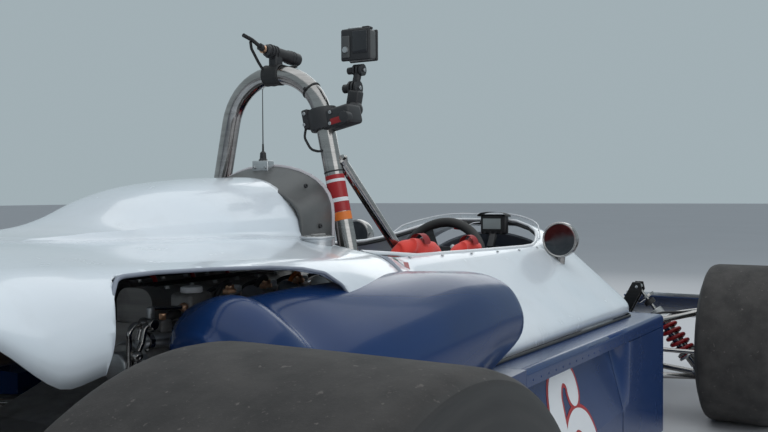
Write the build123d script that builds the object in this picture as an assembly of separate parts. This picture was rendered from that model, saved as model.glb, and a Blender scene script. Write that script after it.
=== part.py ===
from build123d import *
import math
import os

# Open wheel single-seat racing car of the late 1970s, millimetres.
# +X is forward, +Y is the car's left, +Z is up; the origin is on the ground,
# under the middle of the wheelbase, which is also the middle of the car's length.

# Driving dimensions
WHEELBASE = 2450
HALF_LENGTH = 1990          # nose tip and rear edge of the rear end plates
FRONT_AXLE = WHEELBASE / 2
REAR_AXLE = -WHEELBASE / 2
FLOOR_Z = 70                # underside of the tub
SKIN = 5                    # glass fibre shells
BODY_GAP = 0.8              # between neighbouring body panels
SEAT_GAP = 0.3              # under a piece that rests on another

# Wheels: radius of the tyre, its width, the wheel's centre plane, the rim's radius
FRONT_TYRE_R, FRONT_TYRE_W, FRONT_WHEEL_Y = 260, 240, 680
REAR_TYRE_R, REAR_TYRE_W, REAR_WHEEL_Y = 311, 329, 678
RIM_R = 167
TYRE_SHOULDER = 30
AXLE_R = 20                 # stub axle
DISC_R, DISC_T = 122, 18

# Tub: outline in plan and its sloping top
TUB_REAR, BOX_FRONT, FOOT_FRONT = -345, 725, FRONT_AXLE + 170
BOX_HALF_W, FOOT_HALF_W = 530, 245
PANEL_DEPTH = 42            # how far the leaning side panel stands back under the rolled flange
PANEL_LOW_Z = 222           # below here the side is upright and full width
FLANGE_T = 34
TOP_Z_REAR, TOP_Z_BOX, TOP_Z_FOOT = 438, 408, 340
FOOT_CORNER_X = 825
COCKPIT_REAR, COCKPIT_FRONT = -325, 665
COCKPIT_HALF_W, FOOT_WALL = 245, 22
TUB_FLOOR_T = 22

# Cockpit surround, which meets the engine cover behind the roll hoop
RIM_Y, RIM_Z = 265, 626
SKIRT_Y = BOX_HALF_W - 70
SCUTTLE_Z = 682
SURROUND_REAR, SURROUND_FRONT = -455, 705

# Engine cover
COVER_FRONT, COVER_REAR = SURROUND_REAR - 2, REAR_AXLE - 280
DECK_Y, DECK_Z = 400, 672
HUMP_MOUTH_X, HUMP_HALF_W, HUMP_Z = -525, 182, 794

# Roll hoop
HOOP_X, HOOP_D, HOOP_TOP = -397, 38, 1026
HOOP_FOOT_Y, HOOP_SHOULDER_Y, HOOP_BEND_R = 228, 100, 118
BRACE_D, BRACE_TOP_Z, BRACE_FOOT_X = 22, 842, -88


def mirrored(shape):
    """The same piece on the car's other side."""
    return shape.mirror(Plane.XZ)


def both(shape):
    """A piece and its mirror image, as one node of separate solids."""
    return Compound(children=list(shape.solids()) + list(mirrored(shape).solids()))


def rod(start, end, diameter):
    """A round bar between two points."""
    a, b = Vector(*start), Vector(*end)
    return Solid.make_cylinder(diameter / 2, (b - a).length, Plane(origin=a, z_dir=b - a))


def ball(centre, diameter):
    return Pos(*centre) * Sphere(diameter / 2)


def pipe(points, radius, diameter):
    """A bent tube: straight runs joined by arcs of one radius."""
    path = FilletPolyline(*[Vector(*p) for p in points], radius=radius)
    start = Plane(origin=path @ 0, z_dir=path % 0)
    return sweep(start * Circle(diameter / 2), path=path)


def block(x0, x1, y0, y1, z0, z1):
    """A box from its limits."""
    return Pos((x0 + x1) / 2, (y0 + y1) / 2, (z0 + z1) / 2) * Box(x1 - x0, y1 - y0, z1 - z0)


def side_profile(points, half_width):
    """An outline in X and Z, extruded across the car to both sides."""
    face = make_face(Polyline(*points, close=True))
    return extrude(Plane.XZ * face, half_width, both=True)


def plan_profile(points, z0, z1):
    """An outline in X and Y, extruded upwards."""
    return extrude(Pos(0, 0, z0) * make_face(Polyline(*points, close=True)), z1 - z0)


def symmetric(points):
    """Closes half an outline, given from rear to front as (x, y), about the centre line."""
    return points + [(x, -y) for x, y in reversed(points)]


def arch(x, half_width, low, shoulder, crown, corner):
    """A section across the car: upright sides, an arched top and round shoulders."""
    outline = Polyline(
        (-half_width, shoulder), (-half_width, low), (half_width, low), (half_width, shoulder)
    )
    top = ThreePointArc((half_width, shoulder), (0, crown), (-half_width, shoulder))
    face = make_face([outline, top])
    upper = [v for v in face.vertices() if v.Y > (low + shoulder) / 2]
    return Plane.YZ.offset(x) * fillet(upper, corner)


def wheel_plane(x, y, z):
    """Sketch plane whose first axis is the wheel's axle, so that a revolve turns about it."""
    return Plane(origin=(x, y, z), x_dir=(0, 1, 0), z_dir=(1, 0, 0))


# Tub

TUB_SIDE = [
    (TUB_REAR, FLOOR_Z), (FOOT_FRONT, FLOOR_Z), (FOOT_FRONT, TOP_Z_FOOT),
    (BOX_FRONT, TOP_Z_BOX), (TUB_REAR, TOP_Z_REAR),
]
TUB_PLAN = [
    (TUB_REAR, BOX_HALF_W), (BOX_FRONT, BOX_HALF_W), (FOOT_CORNER_X, FOOT_HALF_W),
    (FOOT_FRONT, FOOT_HALF_W),
]
STEER_ARM = 105             # the tie rod's lever behind the kingpin
RACK_X, RACK_Z, RACK_TUBE_D = FRONT_AXLE - STEER_ARM, 235, 40


def top_of_tub(x):
    """Height of the tub's sloping top at a station."""
    if x <= BOX_FRONT:
        share = (x - TUB_REAR) / (BOX_FRONT - TUB_REAR)
        return TOP_Z_REAR + share * (TOP_Z_BOX - TOP_Z_REAR)
    share = (x - BOX_FRONT) / (FOOT_FRONT - BOX_FRONT)
    return TOP_Z_BOX + share * (TOP_Z_FOOT - TOP_Z_BOX)


# The side panel leans in towards the flange and fades out at the front.
# Columns: station, depth under the flange, height where it reaches full width
PANEL_STATIONS = [
    (TUB_REAR - 5, PANEL_DEPTH, PANEL_LOW_Z),
    (BOX_FRONT - 425, PANEL_DEPTH, PANEL_LOW_Z),
    (BOX_FRONT - 275, PANEL_DEPTH, PANEL_LOW_Z + 56),
    (BOX_FRONT - 12, 0.5, TOP_Z_BOX - FLANGE_T - 2),
]


def panel_recess(stations):
    """What is cut away beside the leaning panel on the car's right, below the flange."""
    faces = []
    for x, depth, low in stations:
        high = top_of_tub(max(x, TUB_REAR)) - FLANGE_T
        faces.append(Plane.YZ.offset(x) * make_face(Polyline(
            (-700, high), (-BOX_HALF_W + depth, high), (-BOX_HALF_W, low), (-700, low), close=True)))
    return loft(faces, ruled=True)


def make_tub():
    body = side_profile(TUB_SIDE, 600) & plan_profile(symmetric(TUB_PLAN), 0, 600)
    recess = panel_recess(PANEL_STATIONS)
    body = body - recess - mirrored(recess)
    rolled = [e for e in body.edges()
              if abs(abs(e.center().Y) - BOX_HALF_W) < 1 and e.length > (BOX_FRONT - TUB_REAR) / 2
              and e.center().Z > top_of_tub(e.center().X) - FLANGE_T / 2]
    body = fillet(rolled, 14)
    cockpit = plan_profile(
        symmetric([(COCKPIT_REAR, COCKPIT_HALF_W), (COCKPIT_FRONT, COCKPIT_HALF_W)]),
        FLOOR_Z + TUB_FLOOR_T, 600)
    foot = side_profile(
        [(COCKPIT_FRONT - 5, FLOOR_Z + TUB_FLOOR_T), (FOOT_FRONT - FOOT_WALL, FLOOR_Z + TUB_FLOOR_T),
         (FOOT_FRONT - FOOT_WALL, top_of_tub(FOOT_FRONT - FOOT_WALL) - FOOT_WALL),
         (COCKPIT_FRONT - 5, top_of_tub(COCKPIT_FRONT) - FOOT_WALL)], FOOT_HALF_W - FOOT_WALL)
    rack_hole = rod((RACK_X, -600, RACK_Z), (RACK_X, 600, RACK_Z), RACK_TUBE_D + 2 * SEAT_GAP)
    bracket = block(HOOP_X - 24, TUB_REAR + 5, HOOP_FOOT_Y - 26, HOOP_FOOT_Y + 26,
                    TOP_Z_REAR - 60, TOP_Z_REAR)
    body = body + bracket + mirrored(bracket)
    slot = block(COCKPIT_FRONT - 5, COCKPIT_FRONT + COLUMN_SLOT_L, -COLUMN_SLOT_HALF_W, COLUMN_SLOT_HALF_W,
                 350, 600)
    return body - cockpit - foot - rack_hole - slot


# Side pods beside the engine, which carry the radiators and the hip ducts
POD_REAR, POD_INNER_Y = REAR_AXLE + 400, 262


def make_side_pods():
    outline = [(POD_REAR, -POD_INNER_Y), (TUB_REAR - BODY_GAP, -POD_INNER_Y),
               (TUB_REAR - BODY_GAP, -BOX_HALF_W), (POD_REAR + 100, -BOX_HALF_W), (POD_REAR, -BOX_HALF_W + 62)]
    floor_line = side_profile(
        [(POD_REAR, FLOOR_Z + 10), (TUB_REAR, FLOOR_Z), (TUB_REAR, TOP_Z_REAR), (POD_REAR, TOP_Z_REAR)], 600)
    pod = plan_profile(outline, 0, TOP_Z_REAR) & floor_line
    return both(pod - panel_recess([(x, PANEL_DEPTH, PANEL_LOW_Z) for x in (POD_REAR - 5, TUB_REAR + 5)]))


# Cockpit surround: a shell whose sides slope from the cockpit's rim to the tub's edge.
# Columns: station, height of the skirt's foot, crown of the scuttle, rim y, rim z
SURROUND_STATIONS = [
    (SURROUND_REAR, TOP_Z_REAR + 9, 656, RIM_Y + 41, RIM_Z + 16),
    (-345, TOP_Z_REAR + 6, 640, RIM_Y, RIM_Z + 8),
    (150, TOP_Z_REAR - 5, 632, RIM_Y + 5, RIM_Z - 4),
    (420, TOP_Z_REAR - 12, 660, RIM_Y + 3, RIM_Z - 6),
    (575, TOP_Z_REAR - 17, SCUTTLE_Z, RIM_Y - 5, RIM_Z - 6),
    (SURROUND_FRONT, TOP_Z_REAR - 22, SCUTTLE_Z - 22, RIM_Y - 15, RIM_Z - 26),
]


def surround_sections(shrink, push):
    """Outer sections, or with shrink and push the ones of the hollow inside."""
    faces = []
    last = len(SURROUND_STATIONS) - 1
    for i, (x, foot, crown, rim_y, rim_z) in enumerate(SURROUND_STATIONS):
        if i == 0:
            x -= push
        if i == last:
            x -= shrink
        foot -= push
        y = SKIRT_Y - shrink
        points = [(-y, foot), (y, foot), (y, foot + 26 - shrink), (rim_y - shrink, rim_z - shrink),
                  (110, crown - shrink), (-110, crown - shrink), (-rim_y + shrink, rim_z - shrink),
                  (-y, foot + 26 - shrink)]
        faces.append(Plane.YZ.offset(x) * make_face(Polyline(*points, close=True)))
    return faces


PASSAGE_HALF_W = 200        # legs and steering column pass forward under the scuttle
COLUMN_SLOT_HALF_W, COLUMN_SLOT_L = 70, 190
COCKPIT_OPENING = [(-700, 236), (-250, 250), (380, 268), (560, 205), (640, 70)]


def make_surround():
    shell = loft(surround_sections(0, 0), ruled=True) - loft(surround_sections(SKIN, 3), ruled=True)
    outline = make_face(Polyline(*symmetric(COCKPIT_OPENING), close=True))
    corners = [v for v in outline.vertices() if v.X > 300]
    opening = extrude(Pos(0, 0, 380) * fillet(corners, 60), 400)
    corner_cut = plan_profile(
        [(SURROUND_FRONT - 60, -SKIRT_Y - 5), (SURROUND_FRONT + 5, -SKIRT_Y + 60),
         (SURROUND_FRONT + 5, -SKIRT_Y - 5)], 380, 700)
    passage = block(SURROUND_FRONT - 10, SURROUND_FRONT + 5, -PASSAGE_HALF_W, PASSAGE_HALF_W, 400, 600)
    return shell - opening - corner_cut - mirrored(corner_cut) - passage


# Nose. Columns: station, half width, foot, shoulder, crown, corner radius
NOSE_STATIONS = [
    (SURROUND_FRONT + BODY_GAP, 296, 90, 500, 640, 40),
    (FRONT_AXLE, 258, 90, 398, 468, 34),
    (FRONT_AXLE + 350, 214, 90, 318, 384, 30),
    (HALF_LENGTH, 150, 100, 150, 186, 20),
]


def nose_sections(shrink, push):
    faces = []
    last = len(NOSE_STATIONS) - 1
    for i, (x, half_w, low, shoulder, crown, corner) in enumerate(NOSE_STATIONS):
        if i == 0:
            x -= push
        if i == last:
            x -= 3 * shrink
        faces.append(
            arch(x, half_w - shrink, low + shrink, shoulder - shrink, crown - shrink, corner - shrink))
    return faces


def make_nose():
    shell = loft(nose_sections(0, 0)) - loft(nose_sections(SKIN, 3))
    # the shell stands on the tub as far as the front bulkhead, and drops to its floor ahead of it
    under = side_profile(
        [(SURROUND_FRONT - 5, 0), (FOOT_FRONT + 6, 0), (FOOT_FRONT + BODY_GAP, TOP_Z_FOOT + SEAT_GAP),
         (BOX_FRONT, TOP_Z_BOX + SEAT_GAP), (SURROUND_FRONT - 5, TOP_Z_BOX + SEAT_GAP + 1)], 600)
    return shell - under


# Front wing: chord line from the leading edge up to the trailing edge, in X and Z
WING_LEADING, WING_TRAILING = (FRONT_AXLE + 625, 250), (FRONT_AXLE + 340, 362)
WING_ROOT_Y, WING_TIP_Y, WING_T = 188, 700, 32
PLATE_T = 6


def aerofoil(leading, trailing, thickness):
    """A wing section in X and Z: nearly flat on top and bulged underneath."""
    start, end = Vector(*leading), Vector(*trailing)
    chord = end - start
    down = Vector(chord.Y, -chord.X).normalized()
    if down.Y > 0:
        down = -down
    tip = end + down * 3
    top = start + chord * 0.4 + down * thickness * -0.2
    low = start + chord * 0.4 + down * thickness * 0.8
    return make_face([ThreePointArc(start, top, end), Line(end, tip), ThreePointArc(tip, low, start)])


def across(face, y, width):
    """An outline in X and Z, extruded outwards on the car's right from a distance y."""
    return extrude(Plane.XZ.offset(y) * face, width)


def make_front_wings():
    plane = across(aerofoil(WING_LEADING, WING_TRAILING, WING_T), WING_ROOT_Y, WING_TIP_Y - WING_ROOT_Y)
    outline = make_face(Polyline(
        (WING_LEADING[0] + 60, 230), (WING_LEADING[0] + 20, 300), (WING_TRAILING[0] - 12, 405),
        (WING_TRAILING[0] - 12, 130), (WING_LEADING[0] + 40, 120), close=True))
    plate = across(fillet(outline.vertices(), 20), WING_TIP_Y, PLATE_T)
    return both((plane + plate) - loft(nose_sections(-BODY_GAP / 2, 0)))


# Engine cover. Columns: station, foot, knee and edge as (y, z), crown as (y, z)
COVER_STATIONS = [
    (COVER_FRONT, (457, 447), (457, 480), (306, 642), (140, 666)),
    (HUMP_MOUTH_X, (455, 448), (455, 488), (335, 648), (150, 684)),
    (-700, (452, 450), (450, 508), (396, 652), (200, 688)),
    (-850, (446, 512), (446, 560), (398, 662), (198, 692)),
    (-1040, (440, 566), (440, 600), (DECK_Y, DECK_Z), (196, 696)),
    (REAR_AXLE, (442, 580), (442, 612), (404, 678), (190, 704)),
    (COVER_REAR, (410, 600), (410, 622), (370, 690), (170, 722)),
]
# Hump over the engine. Columns: station, half width, shoulder, crown, corner radius
HUMP_STATIONS = [
    (HUMP_MOUTH_X, HUMP_HALF_W, 716, HUMP_Z, 50),
    (-772, 178, 712, 781, 45),
    (-905, 150, 704, 745, 30),
    (-1060, 96, 690, 700, 12),
]
HUMP_FOOT_Z = 640
OPENING_TOP, OPENING_FRONT, OPENING_REAR, OPENING_R = 655, -738, -1215, 34


def cover_sections(shrink, push):
    faces = []
    last = len(COVER_STATIONS) - 1
    for i, (x, foot, knee, edge, crown) in enumerate(COVER_STATIONS):
        x += push * (i == 0) - push * (i == last)
        corners = [(foot[0] - shrink, foot[1] - push)]
        corners += [(y - shrink, z - shrink) for y, z in (knee, edge, crown)]
        faces.append(Plane.YZ.offset(x) * make_face(
            Polyline(*corners, *[(-y, z) for y, z in reversed(corners)], close=True)))
    return faces


def hump_sections(shrink, push):
    faces = []
    for i, (x, half_w, shoulder, crown, corner) in enumerate(HUMP_STATIONS):
        x += push * (i == 0)
        faces.append(arch(x, half_w - shrink, HUMP_FOOT_Z - push, shoulder - shrink, crown - shrink,
                          max(corner - shrink, 4)))
    return faces


def make_engine_cover():
    shell = loft(cover_sections(0, 0), ruled=True) + loft(hump_sections(0, 0))
    shell -= loft(cover_sections(SKIN, 3), ruled=True)
    shell -= loft(hump_sections(SKIN, 3))
    shell -= block(HUMP_MOUTH_X + 1, COVER_FRONT + 5, -HUMP_HALF_W, HUMP_HALF_W, HUMP_FOOT_Z - 60, 800)
    outline = make_face(Polyline(
        (OPENING_REAR, 400), (OPENING_FRONT + 60, 400), (OPENING_FRONT, 560), (OPENING_FRONT - 30, 640),
        (OPENING_FRONT - 120, OPENING_TOP), (OPENING_REAR, OPENING_TOP + 6), close=True))
    upper = [v for v in outline.vertices() if v.Y > 600]
    outline = fillet(upper, OPENING_R)
    side_opening = extrude(Plane.XZ.offset(380) * outline, 200)
    return shell - side_opening - mirrored(side_opening)


# Roll hoop with its forward stays
HOOP_PATH = [
    (HOOP_X, HOOP_FOOT_Y, TOP_Z_REAR - 20), (HOOP_X, HOOP_SHOULDER_Y, HOOP_TOP - HOOP_D / 2),
    (HOOP_X, -HOOP_SHOULDER_Y, HOOP_TOP - HOOP_D / 2), (HOOP_X, -HOOP_FOOT_Y, TOP_Z_REAR - 20),
]


def make_roll_hoop():
    hoop = pipe(HOOP_PATH, HOOP_BEND_R, HOOP_D)
    top = (HOOP_X, -150, BRACE_TOP_Z)
    foot = (BRACE_FOOT_X, -COCKPIT_HALF_W - 20, TOP_Z_REAR - 20)
    stay = rod(top, foot, BRACE_D)
    below = block(HOOP_X - 40, 0, -400, 400, 0, TOP_Z_REAR + SEAT_GAP)
    ahead = block(COCKPIT_REAR, 0, -400, 400, 0, top_of_tub(BRACE_FOOT_X - 30) + SEAT_GAP)
    stay = stay - ahead
    return (hoop - below) + stay + mirrored(stay)


# Hip ducts beside the engine: a long box beside the cockpit's rear, then a valley and a smaller lobe.
# Columns: station, then shelf edge, shelf, ridge, shoulder, side and foot as
# (distance in from the tub's edge, z)
DUCT_FOOT_Z = TOP_Z_REAR + SEAT_GAP
DUCT_STATIONS = [
    (-318, (230, 606), (145, 612), (78, 607), (31, 580), (6, 517), (46, 439)),
    (-400, (212, 614), (135, 618), (80, 614), (28, 584), (3, 518), (44, 439)),
    (-491, (195, 622), (132, 624), (84, 618), (28, 586), (1, 520), (30, 439)),
    (-640, (178, 627), (132, 623), (88, 612), (32, 580), (2, 520), (26, 439)),
    (-760, (172, 630), (130, 622), (89, 604), (38, 572), (8, 515), (28, 439)),
    (-850, (170, 632), (130, 619), (90, 596), (44, 562), (16, 510), (32, 439)),
    (-920, (176, 630), (133, 610), (92, 586), (50, 551), (28, 502), (37, 445)),
    (-955, (186, 628), (138, 624), (92, 607), (50, 570), (31, 512), (40, 450)),
    (-1000, (198, 622), (142, 637), (94, 625), (54, 585), (35, 522), (44, 458)),
    (-1045, (202, 612), (144, 634), (100, 621), (61, 582), (43, 522), (50, 468)),
    (-1080, (194, 596), (146, 616), (104, 604), (71, 566), (55, 512), (60, 478)),
    (-1092, (186, 584), (146, 601), (108, 590), (80, 556), (66, 508), (70, 486)),
]
DUCT_WALL = 4
DUCT_HOLLOW = 6             # stations whose inside is open, from the mouth
DUCT_SWEEP = 88             # how far the mouth's foot lies behind its top


def duct_sections(stations, shrink, push):
    """Sections of the duct's right side, drawn in towards their middle by a wall's thickness."""
    faces = []
    for i, (x, *corners) in enumerate(stations):
        corners = [(BOX_HALF_W - inset, z) for inset, z in corners]
        corners.append((corners[0][0], corners[-1][1]))
        middle = Vector(*[sum(c[axis] for c in corners) / len(corners) for axis in (0, 1)])
        points = []
        for corner in corners:
            arm = Vector(*corner) - middle
            point = middle + arm * (1 - 1.3 * shrink / arm.length)
            points.append((-point.X, point.Y))
        faces.append(Plane.YZ.offset(x + push * (i == 0)) * make_face(Polyline(*points, close=True)))
    return faces


def make_hip_ducts():
    duct = loft(duct_sections(DUCT_STATIONS, 0, 0), ruled=True)
    duct -= loft(duct_sections(DUCT_STATIONS[:DUCT_HOLLOW], DUCT_WALL, 3), ruled=True)
    mouth = DUCT_STATIONS[0][0]
    duct -= side_profile(
        [(mouth, 505), (mouth + 5, 505), (mouth + 5, 400), (mouth - DUCT_SWEEP, 400),
         (mouth - DUCT_SWEEP, DUCT_FOOT_Z), (mouth - DUCT_SWEEP / 3, 470)], 600)
    cover = loft(cover_sections(-BODY_GAP, BODY_GAP), ruled=True)
    floor = block(-1200, 0, -600, 0, 300, DUCT_FOOT_Z)
    return both(largest(duct - cover - floor - surround_solid(BODY_GAP)))


def largest(shape):
    """The biggest solid of a cut piece; what falls off it is scrap."""
    return max(shape.solids(), key=lambda s: s.volume)


# Headrest: the grey arched bulkhead behind the driver
HEADREST_REAR, HEADREST_FRONT = HUMP_MOUTH_X - 12, HOOP_X - HOOP_D / 2 - 2
HEADREST_T = 5


def headrest_sections(shrink, push):
    half_w = HUMP_HALF_W - SKIN - BODY_GAP - shrink
    low = HUMP_FOOT_Z - 14 - push
    return [
        arch(HEADREST_REAR - push, half_w, low, 708 - shrink, HUMP_Z - SKIN - BODY_GAP - shrink,
             44 - shrink),
        arch(HEADREST_FRONT - shrink, half_w - 20, low, 730 - shrink, 820 - shrink, 54 - shrink),
    ]


def make_headrest():
    mouth = loft(hump_sections(-BODY_GAP, 0)) - loft(hump_sections(SKIN + BODY_GAP, 3))
    return largest(loft(headrest_sections(0, 0)) - loft(headrest_sections(HEADREST_T, 3)) - mouth)


# Seat: a reclined shell between the cockpit's walls
SEAT_HALF_W, SEAT_SIDE = 190, 28


def make_seat():
    low = FLOOR_Z + TUB_FLOOR_T + SEAT_GAP
    middle = make_face(Polyline(
        (-300, 600), (-278, 600), (-120, low + 60), (-60, low + 30), (250, low + 52), (290, low + 96),
        (300, low + 96), (300, low), (-250, low), (-300, 300), close=True))
    bolster = make_face(Polyline(
        (-300, 560), (-250, 545), (-110, low + 170), (120, low + 120), (300, low + 130), (300, low),
        (-250, low), (-300, 300), close=True))
    side = across(fillet([v for v in bolster.vertices() if v.Y > low + 100], 12), SEAT_HALF_W, SEAT_SIDE)
    return extrude(Plane.XZ * middle, SEAT_HALF_W, both=True) + side + mirrored(side)


# Steering: wheel, column and rack. The column runs from the wheel's middle down to the pinion
STEER_WHEEL = Vector(345, 0, 560)
PINION = Vector(RACK_X - 22, 0, RACK_Z + 15)
COLUMN_D, STEER_WHEEL_R, STEER_RIM_D = 18, 128, 26
PINION_HOUSING_D, PINION_HOUSING_L = 36, 60
RUNNING = 0.08              # radial clearance of a shaft in its bore
RACK_D, RACK_HALF, RACK_HOUSING_HALF = 20, 300, 255
TIE_ROD_D, TIE_JOINT_D = 14, 28
KINGPIN_Y = 610
TIE_END_Y = KINGPIN_Y - 25
ARM_Z, ARM_T = RACK_Z + 12, 10


def make_steering_wheel():
    column = Plane(origin=STEER_WHEEL, x_dir=(0, 1, 0), z_dir=PINION - STEER_WHEEL)
    rim = column * revolve(Plane.XZ * Pos(STEER_WHEEL_R, 0) * Circle(STEER_RIM_D / 2), Axis.Z)
    hub = column * (Cylinder(36, 16) + Pos(0, 0, 30) * Cone(30, 14, 44))
    spokes = column * sum_of([
        Rot(0, 0, angle) * Pos(STEER_WHEEL_R / 2, 0, 0) * Box(STEER_WHEEL_R - 10, 26, 5)
        for angle in (0, 180, -90)])
    shaft = rod(STEER_WHEEL, PINION, COLUMN_D)
    return rim + hub + spokes + shaft


def sum_of(shapes):
    """Several overlapping solids as one."""
    total = shapes[0]
    for shape in shapes[1:]:
        total += shape
    return total


def make_rack_housing():
    tube = rod((RACK_X, -RACK_HOUSING_HALF, RACK_Z), (RACK_X, RACK_HOUSING_HALF, RACK_Z), RACK_TUBE_D)
    along = (PINION - STEER_WHEEL).normalized()
    boss = rod(PINION - along * PINION_HOUSING_L, PINION + along * 8, PINION_HOUSING_D)
    shaft_bore = rod(PINION - along * (PINION_HOUSING_L + 5), PINION + along * 1, COLUMN_D + 2 * RUNNING)
    bore = rod((RACK_X, -400, RACK_Z), (RACK_X, 400, RACK_Z), RACK_D + 2 * RUNNING)
    return tube + boss - shaft_bore - bore


def make_steering_rack():
    """The rack bar with its tie rods, which ride with it, their outer joints under the steering arms."""
    bar = rod((RACK_X, -RACK_HALF, RACK_Z), (RACK_X, RACK_HALF, RACK_Z), RACK_D)
    joint = ball((RACK_X, RACK_HALF + 12, RACK_Z), TIE_JOINT_D)
    tie = rod((RACK_X, RACK_HALF, RACK_Z), (RACK_X, TIE_END_Y, RACK_Z), TIE_ROD_D)
    eye = rod((RACK_X, TIE_END_Y, RACK_Z - 11), (RACK_X, TIE_END_Y, ARM_Z - SEAT_GAP), TIE_JOINT_D)
    side = joint + tie + eye
    return bar + side + mirrored(side)


# Front corner. Heights of the upper and lower ball joints
UPPER_BALL_Z, LOWER_BALL_Z = FRONT_TYRE_R + 114, FRONT_TYRE_R - 120
BALL_D, PIN_D, PIN_L = 26, 14, 34
ARM_D = 20
STUB_END_Y, DISC_Y, HUB_START_Y, HUB_END_Y = 752, 650, 634, 735
SLOT_T = 22                 # the caliper's slot for the disc
UPRIGHT_Y0, UPRIGHT_Y1 = KINGPIN_Y - 15, KINGPIN_Y + 22


def kingpin_point(z):
    return (FRONT_AXLE, KINGPIN_Y, z)


def pivot_block(x, y, z):
    """An arm's inner pivot: a block that lies against the flat side that carries it, at a distance y."""
    return fillet(block(x - 18, x + 18, y + SEAT_GAP, y + 26, z - 15, z + 15).edges().filter_by(Axis.X), 5)


def wishbone(outer, inners):
    """An A-arm from its outer ball joint to its inner pivots, given as (x, y of the seat, z)."""
    arm = ball(outer, BALL_D)
    for x, y, z in inners:
        arm += rod(outer, (x, y + 13, z), ARM_D) + pivot_block(x, y, z)
    return arm


def make_front_wishbones():
    pivots_x = (FRONT_AXLE - 150, FRONT_AXLE + 140)
    upper = wishbone(kingpin_point(UPPER_BALL_Z), [(x, FOOT_HALF_W, 290) for x in pivots_x])
    upper += rod(kingpin_point(UPPER_BALL_Z), kingpin_point(UPPER_BALL_Z - PIN_L), PIN_D)
    lower = wishbone(kingpin_point(LOWER_BALL_Z), [(x, FOOT_HALF_W, 145) for x in pivots_x])
    lower += rod(kingpin_point(LOWER_BALL_Z), kingpin_point(LOWER_BALL_Z + PIN_L), PIN_D)
    seat = block(FRONT_AXLE - 42, FRONT_AXLE + 42, DAMPER_LOW[0] - 14, DAMPER_LOW[0] + 10, 134,
                 DAMPER_LOW[1] - EYE_D / 2)
    return both(Compound(children=[(lower + seat).solid(), upper.solid()]))


# Front coil-over, in the axle's plane: its lower and upper eyes as (y, z)
DAMPER_LOW, DAMPER_TOP = (532, 168), (330, 432)
EYE_D, EYE_W = 28, 30
SPRING_R, SPRING_WIRE, SPRING_TURNS = 28, 10, 7


def make_damper(x, low, top):
    """Left damper with its eyes, body, rod and spring seats."""
    a, b = Vector(x, *low), Vector(x, *top)
    along = (b - a).normalized()
    reach = (b - a).length
    body = rod(a + along * 9, a + along * reach * 0.62, 36)
    shaft = rod(a + along * reach * 0.6, b, 12)
    seats = rod(a + along * SPRING_START, a + along * (SPRING_START - 8), 68)
    seats += rod(a + along * (reach - SPRING_END), a + along * (reach - SPRING_END + 8), 62)
    eyes = sum_of([rod(p - Vector(EYE_W / 2, 0, 0), p + Vector(EYE_W / 2, 0, 0), EYE_D) for p in (a, b)])
    return body + shaft + seats + eyes


SPRING_START, SPRING_END = 64, 50


def make_spring(x, low, top):
    """Left coil spring, drawn as a stack of rings joined by their touching sides."""
    a, b = Vector(x, *low), Vector(x, *top)
    along = (b - a).normalized()
    start, end = a + along * (SPRING_START + SEAT_GAP), b - along * (SPRING_END + SEAT_GAP)
    length = (end - start).length
    pitch = length / SPRING_TURNS
    inner, outer = SPRING_R - SPRING_WIRE / 2, SPRING_R + SPRING_WIRE / 2
    points = [(inner, 0)]
    for turn in range(SPRING_TURNS):
        points += [(outer - 5, turn * pitch), (outer, (turn + 0.3) * pitch), (outer, (turn + 0.7) * pitch)]
    points += [(outer - 5, length), (inner, length)]
    column = Plane(origin=start, x_dir=(1, 0, 0), z_dir=along)
    coil = revolve(Plane.XZ * make_face(Polyline(*points, close=True)), Axis.Z)
    return column * coil


def at_each_coilover(make):
    """All four coil-overs' pieces of one kind, as one node of separate solids."""
    front = make(FRONT_AXLE, DAMPER_LOW, DAMPER_TOP)
    rear = make(REAR_DAMPER_X, REAR_DAMPER_LOW, REAR_DAMPER_TOP)
    return Compound(children=list(both(front).solids()) + list(both(rear).solids()))


BRACKET_T = 8


def make_damper_brackets():
    """Pairs of plates on the tub's side that carry the front dampers' upper eyes."""
    y, z = DAMPER_TOP
    outline = make_face(Polyline(
        (FOOT_HALF_W + SEAT_GAP, 312), (FOOT_HALF_W + SEAT_GAP, 338), (y - 62, 356), (y - 14, z + 16),
        (y + 12, z + 16), (y + 18, z - 10), (y - 40, 312), close=True))
    plates = []
    for x in (FRONT_AXLE - EYE_W / 2 - BRACKET_T - SEAT_GAP, FRONT_AXLE + EYE_W / 2 + SEAT_GAP):
        plates.append(extrude(Plane.YZ.offset(x) * outline, BRACKET_T))
    foot = block(FRONT_AXLE - 24, FRONT_AXLE + 24, FOOT_HALF_W + SEAT_GAP, FOOT_HALF_W + 8, 312, 338)
    return both(mirrored(plates[0] + plates[1] + foot))


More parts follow.
